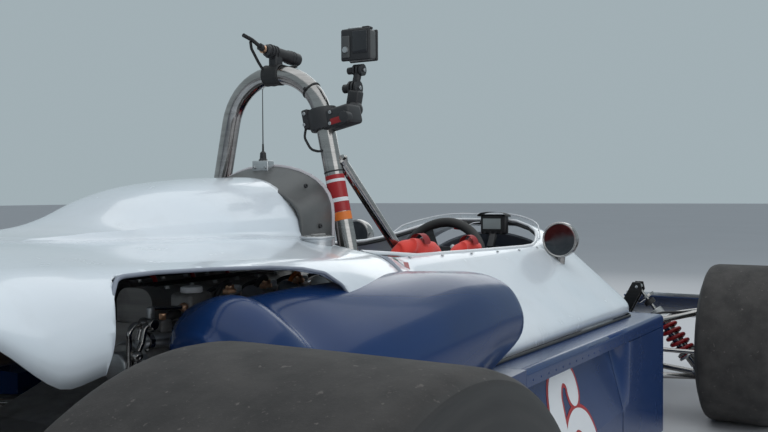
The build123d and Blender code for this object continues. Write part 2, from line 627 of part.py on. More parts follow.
def make_upright_left():
    """Front upright with its stub axle, steering arm and brake caliper, on the car's left."""
    low, high = LOWER_BALL_Z + BALL_D / 2 + 2, UPPER_BALL_Z - BALL_D / 2 - 2
    mid = FRONT_TYRE_R
    outline = make_face(Polyline(
        (FRONT_AXLE - 15, low), (FRONT_AXLE + 15, low), (FRONT_AXLE + 34, mid - 36),
        (FRONT_AXLE + 34, mid + 36), (FRONT_AXLE + 15, high), (FRONT_AXLE - 15, high),
        (FRONT_AXLE - 34, mid + 36), (FRONT_AXLE - 34, mid - 36), close=True))
    body = mirrored(across(outline, UPRIGHT_Y0, UPRIGHT_Y1 - UPRIGHT_Y0))
    body += wheel_cylinder(FRONT_AXLE, mid, 46, UPRIGHT_Y0 - 4, UPRIGHT_Y1)
    stub = wheel_cylinder(FRONT_AXLE, mid, AXLE_R, UPRIGHT_Y1, STUB_END_Y)
    stub += wheel_cylinder(FRONT_AXLE, mid, AXLE_R + 8, HUB_END_Y + 1, STUB_END_Y)
    arm = plan_profile(
        [(FRONT_AXLE, KINGPIN_Y + 10), (RACK_X - 16, TIE_END_Y + 14), (RACK_X - 16, TIE_END_Y - 14),
         (RACK_X + 8, TIE_END_Y - 14), (FRONT_AXLE, KINGPIN_Y - 14)], ARM_Z, ARM_Z + ARM_T)
    bores = rod(kingpin_point(low - 5), kingpin_point(LOWER_BALL_Z + PIN_L + 3), PIN_D + 2 * RUNNING)
    bores += rod(kingpin_point(high + 5), kingpin_point(UPPER_BALL_Z - PIN_L - 3), PIN_D + 2 * RUNNING)
    return body + stub + arm + caliper(FRONT_AXLE, mid, 1) - bores


def caliper(axle_x, axle_z, side):
    """Brake caliper astride the disc, ahead of the axle or behind it, with its bracket."""
    body = block(84, 130, DISC_Y - 24, DISC_Y + 24, -42, 42)
    body = fillet(body.edges().filter_by(Axis.Y), 8)
    body += block(20, 92, UPRIGHT_Y0 + 12, HUB_START_Y - 3, -20, 20)
    slot = Pos(0, DISC_Y, 0) * Rot(90, 0, 0) * Cylinder(DISC_R + 5, SLOT_T)
    return Pos(axle_x, 0, axle_z) * Rot(0, 0 if side > 0 else 180, 0) * (body - slot)


def wheel_cylinder(axle_x, axle_z, radius, y0, y1):
    """A round bar about a wheel's axle."""
    return rod((axle_x, y0, axle_z), (axle_x, y1, axle_z), 2 * radius)


# Wheels
RIM_WALL, RIM_FLANGE = 8, 14
SPOKE_HOLES, SPOKE_T = 8, 16


def make_rim(axle_x, radius, wheel_y, half_width, spider_y, bore_r):
    """Rim, spider, hub and brake disc of a left wheel, turned about the axle."""
    seat = RIM_R
    inner = seat - RIM_WALL
    barrel = make_face(Polyline(
        (wheel_y - half_width, inner), (wheel_y - half_width, seat + RIM_FLANGE),
        (wheel_y - half_width + 6, seat + RIM_FLANGE), (wheel_y - half_width + 6, seat),
        (wheel_y + half_width - 6, seat), (wheel_y + half_width - 6, seat + RIM_FLANGE),
        (wheel_y + half_width, seat + RIM_FLANGE), (wheel_y + half_width, inner), close=True))
    spider = make_face(Polyline(
        (spider_y - 10, bore_r), (spider_y - 10, 60), (spider_y, inner + 3),
        (spider_y + SPOKE_T, inner + 3), (spider_y + 10, 60), (HUB_END_Y, 52), (HUB_END_Y, bore_r),
        close=True))
    disc = make_face(Polyline(
        (HUB_START_Y, bore_r), (HUB_START_Y, 62), (DISC_Y - DISC_T / 2, 62), (DISC_Y - DISC_T / 2, DISC_R),
        (DISC_Y + DISC_T / 2, DISC_R), (DISC_Y + DISC_T / 2, 62), (spider_y - 9, 62),
        (spider_y - 9, bore_r), close=True))
    plane = wheel_plane(axle_x, 0, radius)
    axle = Axis((axle_x, 0, radius), (0, 1, 0))
    wheel = sum_of([revolve(plane * face, axle) for face in (barrel, spider, disc)])
    for i in range(SPOKE_HOLES):
        hole = Pos(axle_x, 0, radius) * Rot(0, 360 / SPOKE_HOLES * i, 0) * Pos(110, spider_y, 0)
        wheel -= hole * Rot(90, 0, 0) * Cylinder(22, 80)
    return wheel


def make_tyre(axle_x, radius, wheel_y, half_width, bead_half):
    """A slick tyre, turned about the axle."""
    bead_r = RIM_R + SEAT_GAP
    side_r = RIM_R + (radius - RIM_R) * 0.45
    outline = Polyline(
        (wheel_y - bead_half, RIM_R + RIM_FLANGE), (wheel_y - bead_half, bead_r),
        (wheel_y + bead_half, bead_r), (wheel_y + bead_half, RIM_R + RIM_FLANGE))
    left = ThreePointArc(
        (wheel_y + bead_half, RIM_R + RIM_FLANGE), (wheel_y + half_width, side_r),
        (wheel_y + half_width - 6, radius - TYRE_SHOULDER))
    right = ThreePointArc(
        (wheel_y - bead_half, RIM_R + RIM_FLANGE), (wheel_y - half_width, side_r),
        (wheel_y - half_width + 6, radius - TYRE_SHOULDER))
    shoulder = [
        ThreePointArc((wheel_y + s * (half_width - 6), radius - TYRE_SHOULDER),
                      (wheel_y + s * (half_width - 14), radius - 9),
                      (wheel_y + s * (half_width - 36), radius))
        for s in (1, -1)]
    tread = Line((wheel_y + half_width - 36, radius), (wheel_y - half_width + 36, radius))
    face = make_face([outline, left, right, tread] + shoulder)
    axle = Axis((axle_x, 0, radius), (0, 1, 0))
    return revolve(wheel_plane(axle_x, 0, radius) * face, axle)


# Rear corner
REAR_UPRIGHT_Y = 590
REAR_LOW_Z, REAR_HIGH_Z = REAR_TYRE_R - 124, REAR_TYRE_R + 124
SHAFT_R, CV_R = 14, 46
GEARBOX_HALF_W, BLOCK_HALF_W, HEAD_HALF_W = 95, 122, 104
OUTPUT_Y = 152
REAR_DAMPER_X = REAR_AXLE - 64
REAR_PIVOT_FRONT_X, REAR_PIVOT_X = REAR_AXLE + 410, REAR_AXLE - 243
REAR_DAMPER_LOW, REAR_DAMPER_TOP = (484, 222), (300, 486)


def make_rear_uprights():
    """Left and right hub carriers, each with its caliper."""
    z = REAR_TYRE_R
    outline = make_face(Polyline(
        (REAR_AXLE - 16, REAR_LOW_Z + 16), (REAR_AXLE + 16, REAR_LOW_Z + 16), (REAR_AXLE + 50, z - 30),
        (REAR_AXLE + 50, z + 30), (REAR_AXLE + 16, REAR_HIGH_Z - 16), (REAR_AXLE - 16, REAR_HIGH_Z - 16),
        (REAR_AXLE - 50, z + 30), (REAR_AXLE - 50, z - 30), close=True))
    body = mirrored(across(outline, REAR_UPRIGHT_Y - 20, 40))
    body += wheel_cylinder(REAR_AXLE, z, 56, REAR_UPRIGHT_Y - 28, REAR_UPRIGHT_Y + 38)
    body += caliper(REAR_AXLE, z, 1)
    body -= wheel_cylinder(REAR_AXLE, z, AXLE_R + RUNNING, 500, 700)
    return both(body)


def make_driveshaft():
    """Left driveshaft: both its joints, and the stub that runs through the upright into the wheel."""
    z = REAR_TYRE_R
    parts = [
        wheel_cylinder(REAR_AXLE, z, 50, OUTPUT_Y + 1, OUTPUT_Y + 14),
        wheel_cylinder(REAR_AXLE, z, CV_R - 8, OUTPUT_Y + 14, OUTPUT_Y + 62),
        wheel_cylinder(REAR_AXLE, z, SHAFT_R, OUTPUT_Y + 60, 510),
        wheel_cylinder(REAR_AXLE, z, CV_R - 8, 500, REAR_UPRIGHT_Y - 29),
        wheel_cylinder(REAR_AXLE, z, AXLE_R, REAR_UPRIGHT_Y - 30, STUB_END_Y),
        wheel_cylinder(REAR_AXLE, z, AXLE_R + 8, HUB_END_Y + SEAT_GAP, STUB_END_Y),
    ]
    return sum_of(parts)


def make_rear_wishbones():
    low = (REAR_AXLE, REAR_UPRIGHT_Y, REAR_LOW_Z)
    high = (REAR_AXLE, REAR_UPRIGHT_Y, REAR_HIGH_Z)
    lower = wishbone(low, [(REAR_PIVOT_FRONT_X, BLOCK_HALF_W, 172), (REAR_PIVOT_X, GEARBOX_HALF_W, 208)])
    upper = wishbone(high, [(REAR_PIVOT_FRONT_X, HEAD_HALF_W, 398), (REAR_PIVOT_X, GEARBOX_HALF_W, 410)])
    lower += rod(low, (REAR_AXLE, REAR_UPRIGHT_Y, REAR_LOW_Z + 15.7), 22)
    upper += rod(high, (REAR_AXLE, REAR_UPRIGHT_Y, REAR_HIGH_Z - 15.7), 22)
    lower += block(REAR_DAMPER_X - 12, REAR_DAMPER_X + 40, REAR_DAMPER_LOW[0] - 14, REAR_DAMPER_LOW[0] + 16,
                   178, REAR_DAMPER_LOW[1] - EYE_D / 2 - SEAT_GAP)
    return both(Compound(children=[lower.solid(), upper.solid()]))


# Engine: an in-line four with two camshafts, in one column from the cockpit's rear wall to the bellhousing
ENGINE_FRONT, ENGINE_REAR = TUB_REAR - SEAT_GAP, REAR_AXLE + 373
BELL_REAR, BOX_REAR = REAR_AXLE + 215, REAR_AXLE - 275
BOX_LOW, BOX_HIGH = 190, 430
CYLINDER_PITCH, FIRST_CYLINDER_X = 94, -456
HEAD_SIDE = 118


def make_engine():
    body = block(ENGINE_REAR, ENGINE_FRONT, -BLOCK_HALF_W, BLOCK_HALF_W, 100, 330)
    body = fillet(body.edges().filter_by(Axis.X), 18)
    body += block(ENGINE_REAR, ENGINE_FRONT - 40, -HEAD_HALF_W, HEAD_HALF_W, 320, 470)
    head = block(ENGINE_REAR, ENGINE_FRONT - 30, -HEAD_SIDE, HEAD_SIDE, 466, 556)
    body += fillet(head.edges().filter_by(Axis.X), 10)
    for y in (-62, 62):
        cover = block(ENGINE_REAR + 6, ENGINE_FRONT - 36, y - 40, y + 40, 554, 612)
        body += fillet(cover.edges().filter_by(Axis.X).group_by(Axis.Z)[-1], 26)
    for x in (ENGINE_REAR + 120, ENGINE_REAR + 260, ENGINE_REAR + 400):
        body += block(x, x + 10, -BLOCK_HALF_W - 8, BLOCK_HALF_W + 8, 140, 300)
    pulley = rod((ENGINE_FRONT - 38, 0, 560), (ENGINE_FRONT - 20, 0, 560), 130)
    return body + pulley


INTAKE_Y, INTAKE_Z = 236, 592


def make_intakes():
    """Four intake trumpets on slides, with their fuel rail, on the engine's right."""
    trumpets = []
    for i in range(4):
        x = FIRST_CYLINDER_X - i * CYLINDER_PITCH
        start, end = Vector(x, -HEAD_SIDE - 14, 518), Vector(x, -INTAKE_Y, INTAKE_Z)
        along = (end - start).normalized()
        mouth = Plane(origin=end - along * 26, z_dir=along)
        trumpets.append(rod(start, end - along * 10, 46) + mouth * Cone(23, 34, 30))
        trumpets.append(block(x - 6, x + 6, -202, -160, 514, 592))
    low = FIRST_CYLINDER_X - 3 * CYLINDER_PITCH - 30
    flange = block(low, FIRST_CYLINDER_X + 30, -HEAD_SIDE - 18, -HEAD_SIDE - SEAT_GAP, 484, 548)
    rail = rod((low, -170, 590), (FIRST_CYLINDER_X + 16, -170, 590), 20)
    slide = rod((low - 10, -196, 520), (FIRST_CYLINDER_X + 16, -196, 520), 12)
    return sum_of(trumpets + [flange, rail, slide])


EXHAUST_Y, EXHAUST_Z, TAIL_Y, TAIL_Z, EXHAUST_D = 226, 492, 160, 604, 54
EXHAUST_END = REAR_AXLE - 495


def make_exhaust():
    """Four stubs from the head's left into one pipe, which rises over the gearbox to the tail."""
    main_pipe = pipe([
        (FIRST_CYLINDER_X + 8, EXHAUST_Y, EXHAUST_Z), (REAR_AXLE + 295, EXHAUST_Y, EXHAUST_Z),
        (REAR_AXLE + 135, TAIL_Y, TAIL_Z), (EXHAUST_END + 60, TAIL_Y, TAIL_Z)], 90, EXHAUST_D)
    stubs = []
    for i in range(4):
        x = FIRST_CYLINDER_X - i * CYLINDER_PITCH
        stubs.append(rod((x, HEAD_SIDE + 7, 512), (x - 20, EXHAUST_Y, EXHAUST_Z), 42))
        stubs.append(block(x - 30, x + 30, HEAD_SIDE + SEAT_GAP, HEAD_SIDE + 9, 486, 540))
    tail = rod((EXHAUST_END + 61, TAIL_Y, TAIL_Z), (EXHAUST_END, TAIL_Y, TAIL_Z), 74)
    tail += rod((EXHAUST_END + 320, TAIL_Y, TAIL_Z), (EXHAUST_END + 58, TAIL_Y, TAIL_Z), 96)
    tail -= rod((EXHAUST_END + 80, TAIL_Y, TAIL_Z), (EXHAUST_END - 10, TAIL_Y, TAIL_Z), 64)
    return sum_of([main_pipe] + stubs + [tail])


def make_gearbox():
    """Bellhousing, gear case with the final drive, and the rear cover."""
    bell = loft([
        Plane.YZ.offset(ENGINE_REAR - SEAT_GAP) * Pos(0, 300) * RectangleRounded(2 * 140, 330, 40),
        Plane.YZ.offset(BELL_REAR) * Pos(0, (BOX_LOW + BOX_HIGH) / 2) * RectangleRounded(
            2 * GEARBOX_HALF_W, BOX_HIGH - BOX_LOW, 30)])
    case = block(BOX_REAR, BELL_REAR, -GEARBOX_HALF_W, GEARBOX_HALF_W, BOX_LOW, BOX_HIGH)
    case = fillet(case.edges().filter_by(Axis.X), 16)
    final_drive = wheel_cylinder(REAR_AXLE, REAR_TYRE_R, 92, -OUTPUT_Y + 20, OUTPUT_Y - 20)
    final_drive += wheel_cylinder(REAR_AXLE, REAR_TYRE_R, 50, -OUTPUT_Y, OUTPUT_Y)
    ribs = [block(x, x + 8, -GEARBOX_HALF_W - 8, GEARBOX_HALF_W + 8, BOX_LOW + 30, BOX_HIGH - 40)
            for x in (REAR_AXLE + 145, REAR_AXLE + 115, REAR_AXLE - 115, REAR_AXLE - 145)]
    return sum_of([bell, case, final_drive] + ribs)


BEAM_LOW, BEAM_HIGH = REAR_DAMPER_TOP[1] + EYE_D / 2 + SEAT_GAP, 540


def make_rear_beam():
    """Cross beam over the gearbox that carries the rear dampers."""
    outline = make_face(Polyline(
        (-318, BEAM_LOW), (-90, BEAM_LOW), (-60, BOX_HIGH + SEAT_GAP), (60, BOX_HIGH + SEAT_GAP),
        (90, BEAM_LOW), (318, BEAM_LOW), (318, BEAM_HIGH - 12), (306, BEAM_HIGH), (-306, BEAM_HIGH),
        (-318, BEAM_HIGH - 12), close=True))
    return extrude(Plane.YZ.offset(REAR_DAMPER_X - 22) * outline, 44)


# Rear wing: main plane and flap, each from its leading to its trailing edge, in X and Z
MAIN_PLANE = ((-HALF_LENGTH + 350, 812), (-HALF_LENGTH + 105, 850))
FLAP = ((-HALF_LENGTH + 112, 866), (-HALF_LENGTH + 22, 906))
REAR_SPAN, MAIN_T, FLAP_T = 490, 36, 14
PYLON_Y, PYLON_T = 46, 6


def make_rear_wing():
    planes = [
        extrude(Plane.XZ * aerofoil(*MAIN_PLANE, MAIN_T), REAR_SPAN, both=True),
        extrude(Plane.XZ * aerofoil(*FLAP, FLAP_T), REAR_SPAN, both=True)]
    outline = make_face(Polyline(
        (-HALF_LENGTH + 390, 740), (-HALF_LENGTH + 350, 700), (-HALF_LENGTH + 40, 700), (-HALF_LENGTH, 740),
        (-HALF_LENGTH, 925), (-HALF_LENGTH + 130, 925), (-HALF_LENGTH + 380, 850), close=True))
    plate = across(fillet(outline.vertices(), 14), REAR_SPAN, PLATE_T)
    return sum_of(planes + [plate, mirrored(plate)])


def make_wing_pylon():
    """Two plates from the gearbox's top to the wing, with cross tubes."""
    wing_x = -HALF_LENGTH + 220
    outline = make_face(Polyline(
        (BOX_REAR + 150, BOX_HIGH + SEAT_GAP), (BOX_REAR + 5, BOX_HIGH + SEAT_GAP), (wing_x - 80, 835),
        (wing_x + 70, 835), (BOX_REAR + 60, 520), close=True))
    plate = across(outline, PYLON_Y, PYLON_T)
    tie_points = ((wing_x + 10, 770), ((wing_x + BOX_REAR) / 2, 620), (BOX_REAR + 70, BOX_HIGH + 40))
    ties = sum_of([rod((x, -PYLON_Y - 3, z), (x, PYLON_Y + 3, z), 16) for x, z in tie_points])
    wing = extrude(Plane.XZ * aerofoil(*MAIN_PLANE, MAIN_T), REAR_SPAN, both=True)
    return (plate + mirrored(plate) + ties) - offset_down(wing)


def offset_down(wing):
    """The wing's section with its seat gap, and all that would stand above it."""
    return Pos(0, 0, -SEAT_GAP) * wing + Pos(0, 0, 12) * wing + Pos(0, 0, 24) * wing


# Cockpit fittings
DASH_X, DASH_T, DASH_TOP = 560, 4, 598


def column_hole(radius):
    return rod(STEER_WHEEL, PINION, 2 * radius)


def make_dashboard():
    half_w = COCKPIT_HALF_W - SEAT_GAP
    panel = block(DASH_X, DASH_X + DASH_T, -half_w, half_w, 392, DASH_TOP)
    upper = panel.edges().filter_by(Axis.X).group_by(Axis.Z)[-1]
    return fillet(upper, 60) - column_hole(COLUMN_D / 2 + 6)


TIMER_X, TIMER_Y, TIMER_Z, TIMER_W, TIMER_H, TIMER_T = 596, -53, 666, 86, 60, 24


def make_lap_timer():
    """Display on a bent bracket that stands on the dashboard."""
    case = block(TIMER_X, TIMER_X + TIMER_T, TIMER_Y - TIMER_W / 2, TIMER_Y + TIMER_W / 2,
                 TIMER_Z - TIMER_H / 2, TIMER_Z + TIMER_H / 2)
    case = fillet(case.edges().filter_by(Axis.X), 12)
    stem = side_profile(
        [(DASH_X, DASH_TOP + SEAT_GAP), (DASH_X + 6, DASH_TOP + SEAT_GAP), (TIMER_X + 10, TIMER_Z - 34),
         (TIMER_X + 10, TIMER_Z - 20), (TIMER_X, TIMER_Z - 20), (DASH_X, DASH_TOP + 8)], 14)
    return case + Pos(0, TIMER_Y, 0) * stem


SCREEN_T, SCREEN_SET = 3, 7
SCREEN_SIDE = [(480, 560), (670, 560), (670, 699), (600, 693), (480, 642)]     # its outline from the side


def surround_solid(grow):
    """The surround's filled outer form, grown by a gap."""
    return loft(surround_sections(-grow, 0), ruled=True)


def make_windscreen():
    outline = make_face(Polyline(*symmetric(COCKPIT_OPENING), close=True))
    outline = fillet([v for v in outline.vertices() if v.X > 300], 60)
    outer = offset(outline, SCREEN_SET + SCREEN_T)
    inner = offset(outline, SCREEN_SET)
    band = extrude(Pos(0, 0, 560) * (outer - inner), 200)
    top = side_profile(SCREEN_SIDE, 400)
    return largest((band & top) - surround_solid(SEAT_GAP))


MIRROR_X, MIRROR_Y, MIRROR_Z, MIRROR_R = 421, 326, 634, 47


def make_mirrors():
    """Round mirror housings, each on a short foot on the scuttle's side."""
    profile = make_face([
        Line((0, 0), (0, MIRROR_R - 5)), Line((0, MIRROR_R - 5), (-6, MIRROR_R - 5)),
        Line((-6, MIRROR_R - 5), (-6, MIRROR_R)), Line((-6, MIRROR_R), (14, MIRROR_R)),
        ThreePointArc((14, MIRROR_R), (52, 28), (66, 0)), Line((66, 0), (0, 0))])
    housing = Pos(MIRROR_X, -MIRROR_Y, MIRROR_Z) * revolve(Plane.XY * profile, Axis.X)
    foot = rod((MIRROR_X + 22, -MIRROR_Y + 4, MIRROR_Z - 20),
               (MIRROR_X + 26, -MIRROR_Y + 16, MIRROR_Z - 130), 26)
    return both(largest((housing + foot) - surround_solid(SEAT_GAP)))


def make_mirror_glasses():
    start = (MIRROR_X - 4, -MIRROR_Y, MIRROR_Z)
    return both(rod(start, (MIRROR_X - SEAT_GAP, -MIRROR_Y, MIRROR_Z), 2 * (MIRROR_R - 5 - SEAT_GAP)))


CAP_X, CAP_Y, CAP_R, CAP_TOP = -562, -219, 32, 684


def make_filler_cap():
    cap = rod((CAP_X, CAP_Y, 640), (CAP_X, CAP_Y, CAP_TOP), 2 * CAP_R)
    cap = fillet(cap.edges().group_by(Axis.Z)[-1], 4)
    return largest(cap - loft(cover_sections(-SEAT_GAP, 0), ruled=True))


# Two small cameras and the aerial
CLAMP_Z, CAMERA_Y = 906, -163


def make_action_camera():
    """Boxed camera on a jointed arm, clamped to the roll hoop's right leg."""
    share = (CLAMP_Z - TOP_Z_REAR + 20) / (HOOP_TOP - HOOP_D / 2 - TOP_Z_REAR + 20)
    y = -(HOOP_FOOT_Y + (HOOP_SHOULDER_Y - HOOP_FOOT_Y) * share)
    clamp = block(HOOP_X - 32, HOOP_X + 32, y - 30, y + 30, CLAMP_Z - 20, CLAMP_Z + 20)
    clamp = fillet(clamp.edges().filter_by(Axis.Z), 12)
    arm = rod((HOOP_X + 26, y, CLAMP_Z), (HOOP_X + 52, CAMERA_Y, 970), 16) + rod(
        (HOOP_X + 52, CAMERA_Y, 965), (HOOP_X + 52, CAMERA_Y, 1030), 18)
    body = block(HOOP_X + 34, HOOP_X + 68, CAMERA_Y - 34, CAMERA_Y + 34, 1028, 1092)
    return (clamp + arm + fillet(body.edges().filter_by(Axis.X), 6)) - pipe(
        HOOP_PATH, HOOP_BEND_R, HOOP_D + 2 * SEAT_GAP)


def make_bullet_camera():
    """Small round camera on a saddle on top of the roll hoop."""
    z = HOOP_TOP + 24
    body = rod((HOOP_X - 30, 0, z + 4), (HOOP_X + 70, 0, z - 2), 26)
    saddle = block(HOOP_X - 16, HOOP_X + 16, -16, 16, HOOP_TOP - 24, z)
    stalk = rod((HOOP_X - 90, 0, z + 12), (HOOP_X - 28, 0, z + 4), 8)
    return (body + saddle + stalk) - pipe(HOOP_PATH, HOOP_BEND_R, HOOP_D + 2 * SEAT_GAP)


ANTENNA_X = -440


def make_antenna():
    """Whip aerial on a small plated bracket on the headrest."""
    foot = block(ANTENNA_X - 14, ANTENNA_X + 10, -22, 22, 800, 832)
    foot -= loft(headrest_sections(-SEAT_GAP, 0))
    return largest(foot) + rod((ANTENNA_X, 0, 826), (ANTENNA_X, 0, 980), 4)


FRONT_SPIDER_Y, REAR_SPIDER_Y = 694, 706


def wheels():
    """All rims and tyres, by name; the left ones are built and the right ones mirrored."""
    rim = make_rim(FRONT_AXLE, FRONT_TYRE_R, FRONT_WHEEL_Y, 118, FRONT_SPIDER_Y, AXLE_R + RUNNING)
    tyre = make_tyre(FRONT_AXLE, FRONT_TYRE_R, FRONT_WHEEL_Y, FRONT_TYRE_W / 2, 112 - SEAT_GAP)
    rear_rim = make_rim(REAR_AXLE, REAR_TYRE_R, REAR_WHEEL_Y, 152, REAR_SPIDER_Y, AXLE_R + SEAT_GAP)
    rear_tyre = make_tyre(REAR_AXLE, REAR_TYRE_R, REAR_WHEEL_Y, REAR_TYRE_W / 2, 146 - SEAT_GAP)
    shaft = make_driveshaft()
    upright = make_upright_left()
    left = {"front_rim": rim, "front_tyre": tyre, "rear_rim": rear_rim, "rear_tyre": rear_tyre,
            "driveshaft": shaft, "front_upright": upright}
    nodes = {}
    for name, shape in left.items():
        nodes[f"{name}_left"] = shape
        nodes[f"{name}_right"] = mirrored(shape)
    return nodes


def main():
    nodes = {
        "tub": make_tub(),
        "side_pods": make_side_pods(),
        "cockpit_surround": make_surround(),
        "nose": make_nose(),
        "front_wings": make_front_wings(),
        "engine_cover": make_engine_cover(),
        "hip_ducts": make_hip_ducts(),
        "roll_hoop": make_roll_hoop(),
        "headrest": make_headrest(),
        "seat": make_seat(),
        "dashboard": make_dashboard(),
        "lap_timer": make_lap_timer(),
        "windscreen": make_windscreen(),
        "mirrors": make_mirrors(),
        "mirror_glasses": make_mirror_glasses(),
        "filler_cap": make_filler_cap(),
        "action_camera": make_action_camera(),
        "bullet_camera": make_bullet_camera(),
        "antenna": make_antenna(),
        "engine": make_engine(),
        "intakes": make_intakes(),
        "exhaust": make_exhaust(),
        "gearbox": make_gearbox(),
        "rear_beam": make_rear_beam(),
        "rear_wing": make_rear_wing(),
        "wing_pylon": make_wing_pylon(),
        "front_wishbones": make_front_wishbones(),
        "damper_brackets": make_damper_brackets(),
        "dampers": at_each_coilover(make_damper),
        "springs": at_each_coilover(make_spring),
        "rear_wishbones": make_rear_wishbones(),
        "rear_uprights": make_rear_uprights(),
        "rack_housing": make_rack_housing(),
        "steering_rack": make_steering_rack(),
        "steering_wheel": make_steering_wheel(),
    }
    nodes.update(wheels())
    os.makedirs("parts", exist_ok=True)
    for name, shape in nodes.items():
        export_step(shape, f"parts/{name}.step")


main()
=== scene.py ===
import math
import bmesh
import bpy
from mathutils import Matrix, Vector


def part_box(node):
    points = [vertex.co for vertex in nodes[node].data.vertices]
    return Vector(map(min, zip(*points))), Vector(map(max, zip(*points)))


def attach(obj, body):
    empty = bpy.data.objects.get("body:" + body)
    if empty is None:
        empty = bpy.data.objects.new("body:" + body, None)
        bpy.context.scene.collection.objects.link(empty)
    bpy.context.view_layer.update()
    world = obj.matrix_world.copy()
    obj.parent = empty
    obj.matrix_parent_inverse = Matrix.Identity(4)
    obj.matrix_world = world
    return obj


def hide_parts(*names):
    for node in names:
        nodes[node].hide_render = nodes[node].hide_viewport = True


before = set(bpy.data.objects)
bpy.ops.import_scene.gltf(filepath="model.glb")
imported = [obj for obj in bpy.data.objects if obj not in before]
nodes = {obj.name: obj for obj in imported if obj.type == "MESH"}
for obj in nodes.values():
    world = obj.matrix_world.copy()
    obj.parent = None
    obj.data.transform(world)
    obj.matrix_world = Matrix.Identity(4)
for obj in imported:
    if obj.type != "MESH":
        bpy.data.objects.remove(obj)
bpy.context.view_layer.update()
mm = 0.001  # the frame is in metres, the shapes below are in millimetres
toMetres = Matrix.Scale(mm, 4)
frontAxle, rearAxle = 1225, -1225
print("frame loaded:", len(nodes), "nodes")


# Shader maths on sockets

def put(tree, slot, value):
    if isinstance(value, Wire):
        tree.links.new(value.socket, slot)
    else:
        slot.default_value = (*value, 1) if slot.type == "RGBA" else value


class Wire:
    def __init__(self, tree, socket):
        self.tree, self.socket = tree, socket

    def maths(self, operation, *values, clamp=False):
        node = self.tree.nodes.new("ShaderNodeMath")
        node.operation = operation
        node.use_clamp = clamp
        for slot, value in zip(node.inputs, values):
            put(self.tree, slot, value)
        return Wire(self.tree, node.outputs[0])

    def __add__(self, other): return self.maths("ADD", self, other)
    def __radd__(self, other): return self.maths("ADD", other, self)
    def __sub__(self, other): return self.maths("SUBTRACT", self, other)
    def __rsub__(self, other): return self.maths("SUBTRACT", other, self)
    def __mul__(self, other): return self.maths("MULTIPLY", self, other)
    def __rmul__(self, other): return self.maths("MULTIPLY", other, self)
    def __truediv__(self, other): return self.maths("DIVIDE", self, other)
    def __rtruediv__(self, other): return self.maths("DIVIDE", other, self)
    def __pow__(self, other): return self.maths("POWER", self, other)
    def __rpow__(self, other): return self.maths("POWER", other, self)

    def sine(self): return self.maths("SINE", self)

    def clamped(self): return self.maths("ADD", self, 0.0, clamp=True)

    def step(self, low, high):  # 0 below low, 1 above high, straight between
        return ((self - low) / (high - low)).clamped()


class Graph:
    def __init__(self, tree):
        self.tree = tree

    def node(self, kind, settings=None, **values):
        node = self.tree.nodes.new(kind)
        for key, value in (settings or {}).items():
            if key == "stops":
                ramp = node.color_ramp
                while len(ramp.elements) < len(value):
                    ramp.elements.new(0.5)
                for element, (position, colour) in zip(ramp.elements, value):
                    element.position = position
                    element.color = (*colour, 1)
            else:
                setattr(node, key, value)
        for key, value in values.items():
            names = (key, key.replace("_", " "))
            slot = next(s for s in node.inputs if s.enabled and (s.name in names or s.identifier == key))
            put(self.tree, slot, value)
        return {socket.name: Wire(self.tree, socket) for socket in node.outputs if socket.enabled}


class Finish(Graph):
    def __init__(self, name):
        self.material = bpy.data.materials.new(name)
        self.material.use_nodes = True
        super().__init__(self.material.node_tree)
        self.place = self.node("ShaderNodeTexCoord")["Object"]

    def noise(self, scale, detail=4.0, roughness=0.55, place=None):
        return self.node("ShaderNodeTexNoise", Vector=place or self.place, Scale=scale, Detail=detail,
                         Roughness=roughness)["Fac"]

    def axes(self):
        parts = self.node("ShaderNodeSeparateXYZ", Vector=self.place)
        return parts["X"], parts["Y"], parts["Z"]

    def mix(self, factor, first, second):
        return self.node("ShaderNodeMix", {"data_type": "RGBA"}, Factor=factor, A=first, B=second)["Result"]

    def feed(self, **values):  # to the shader's own sockets
        for key, value in values.items():
            put(self.tree, self.tree.nodes["Principled BSDF"].inputs[key.replace("_", " ")], value)
        return self.material

    def bump(self, height, strength, distance):
        return self.node("ShaderNodeBump", Height=height, Strength=strength, Distance=distance)["Normal"]


def gelcoat(name, colour, tint, dirt, dirtLevel, coat, gleam):  # glossy painted glass fibre with road dust
    f = Finish(name)
    fine = f.noise(90.0, 5.0)
    low = 1 - f.axes()[2].step(0.10, 0.55)
    dust = ((f.noise(14.0, 6.0) - 0.52) * 5).clamped() * dirtLevel + low * dirtLevel * 0.8
    colours = f.mix(f.noise(2.2, 3.0).step(0.35, 0.65), colour, tint)
    return f.feed(
        Base_Color=f.mix(dust.clamped(), colours, dirt), Roughness=(0.20 + dust * 0.5 + fine * 0.06).clamped(),
        Coat_Weight=coat, Coat_Roughness=0.06, Specular_IOR_Level=gleam,
        Normal=f.bump(f.noise(38.0, 2.0) * 0.6 + fine * 0.2, 0.06, 0.001))


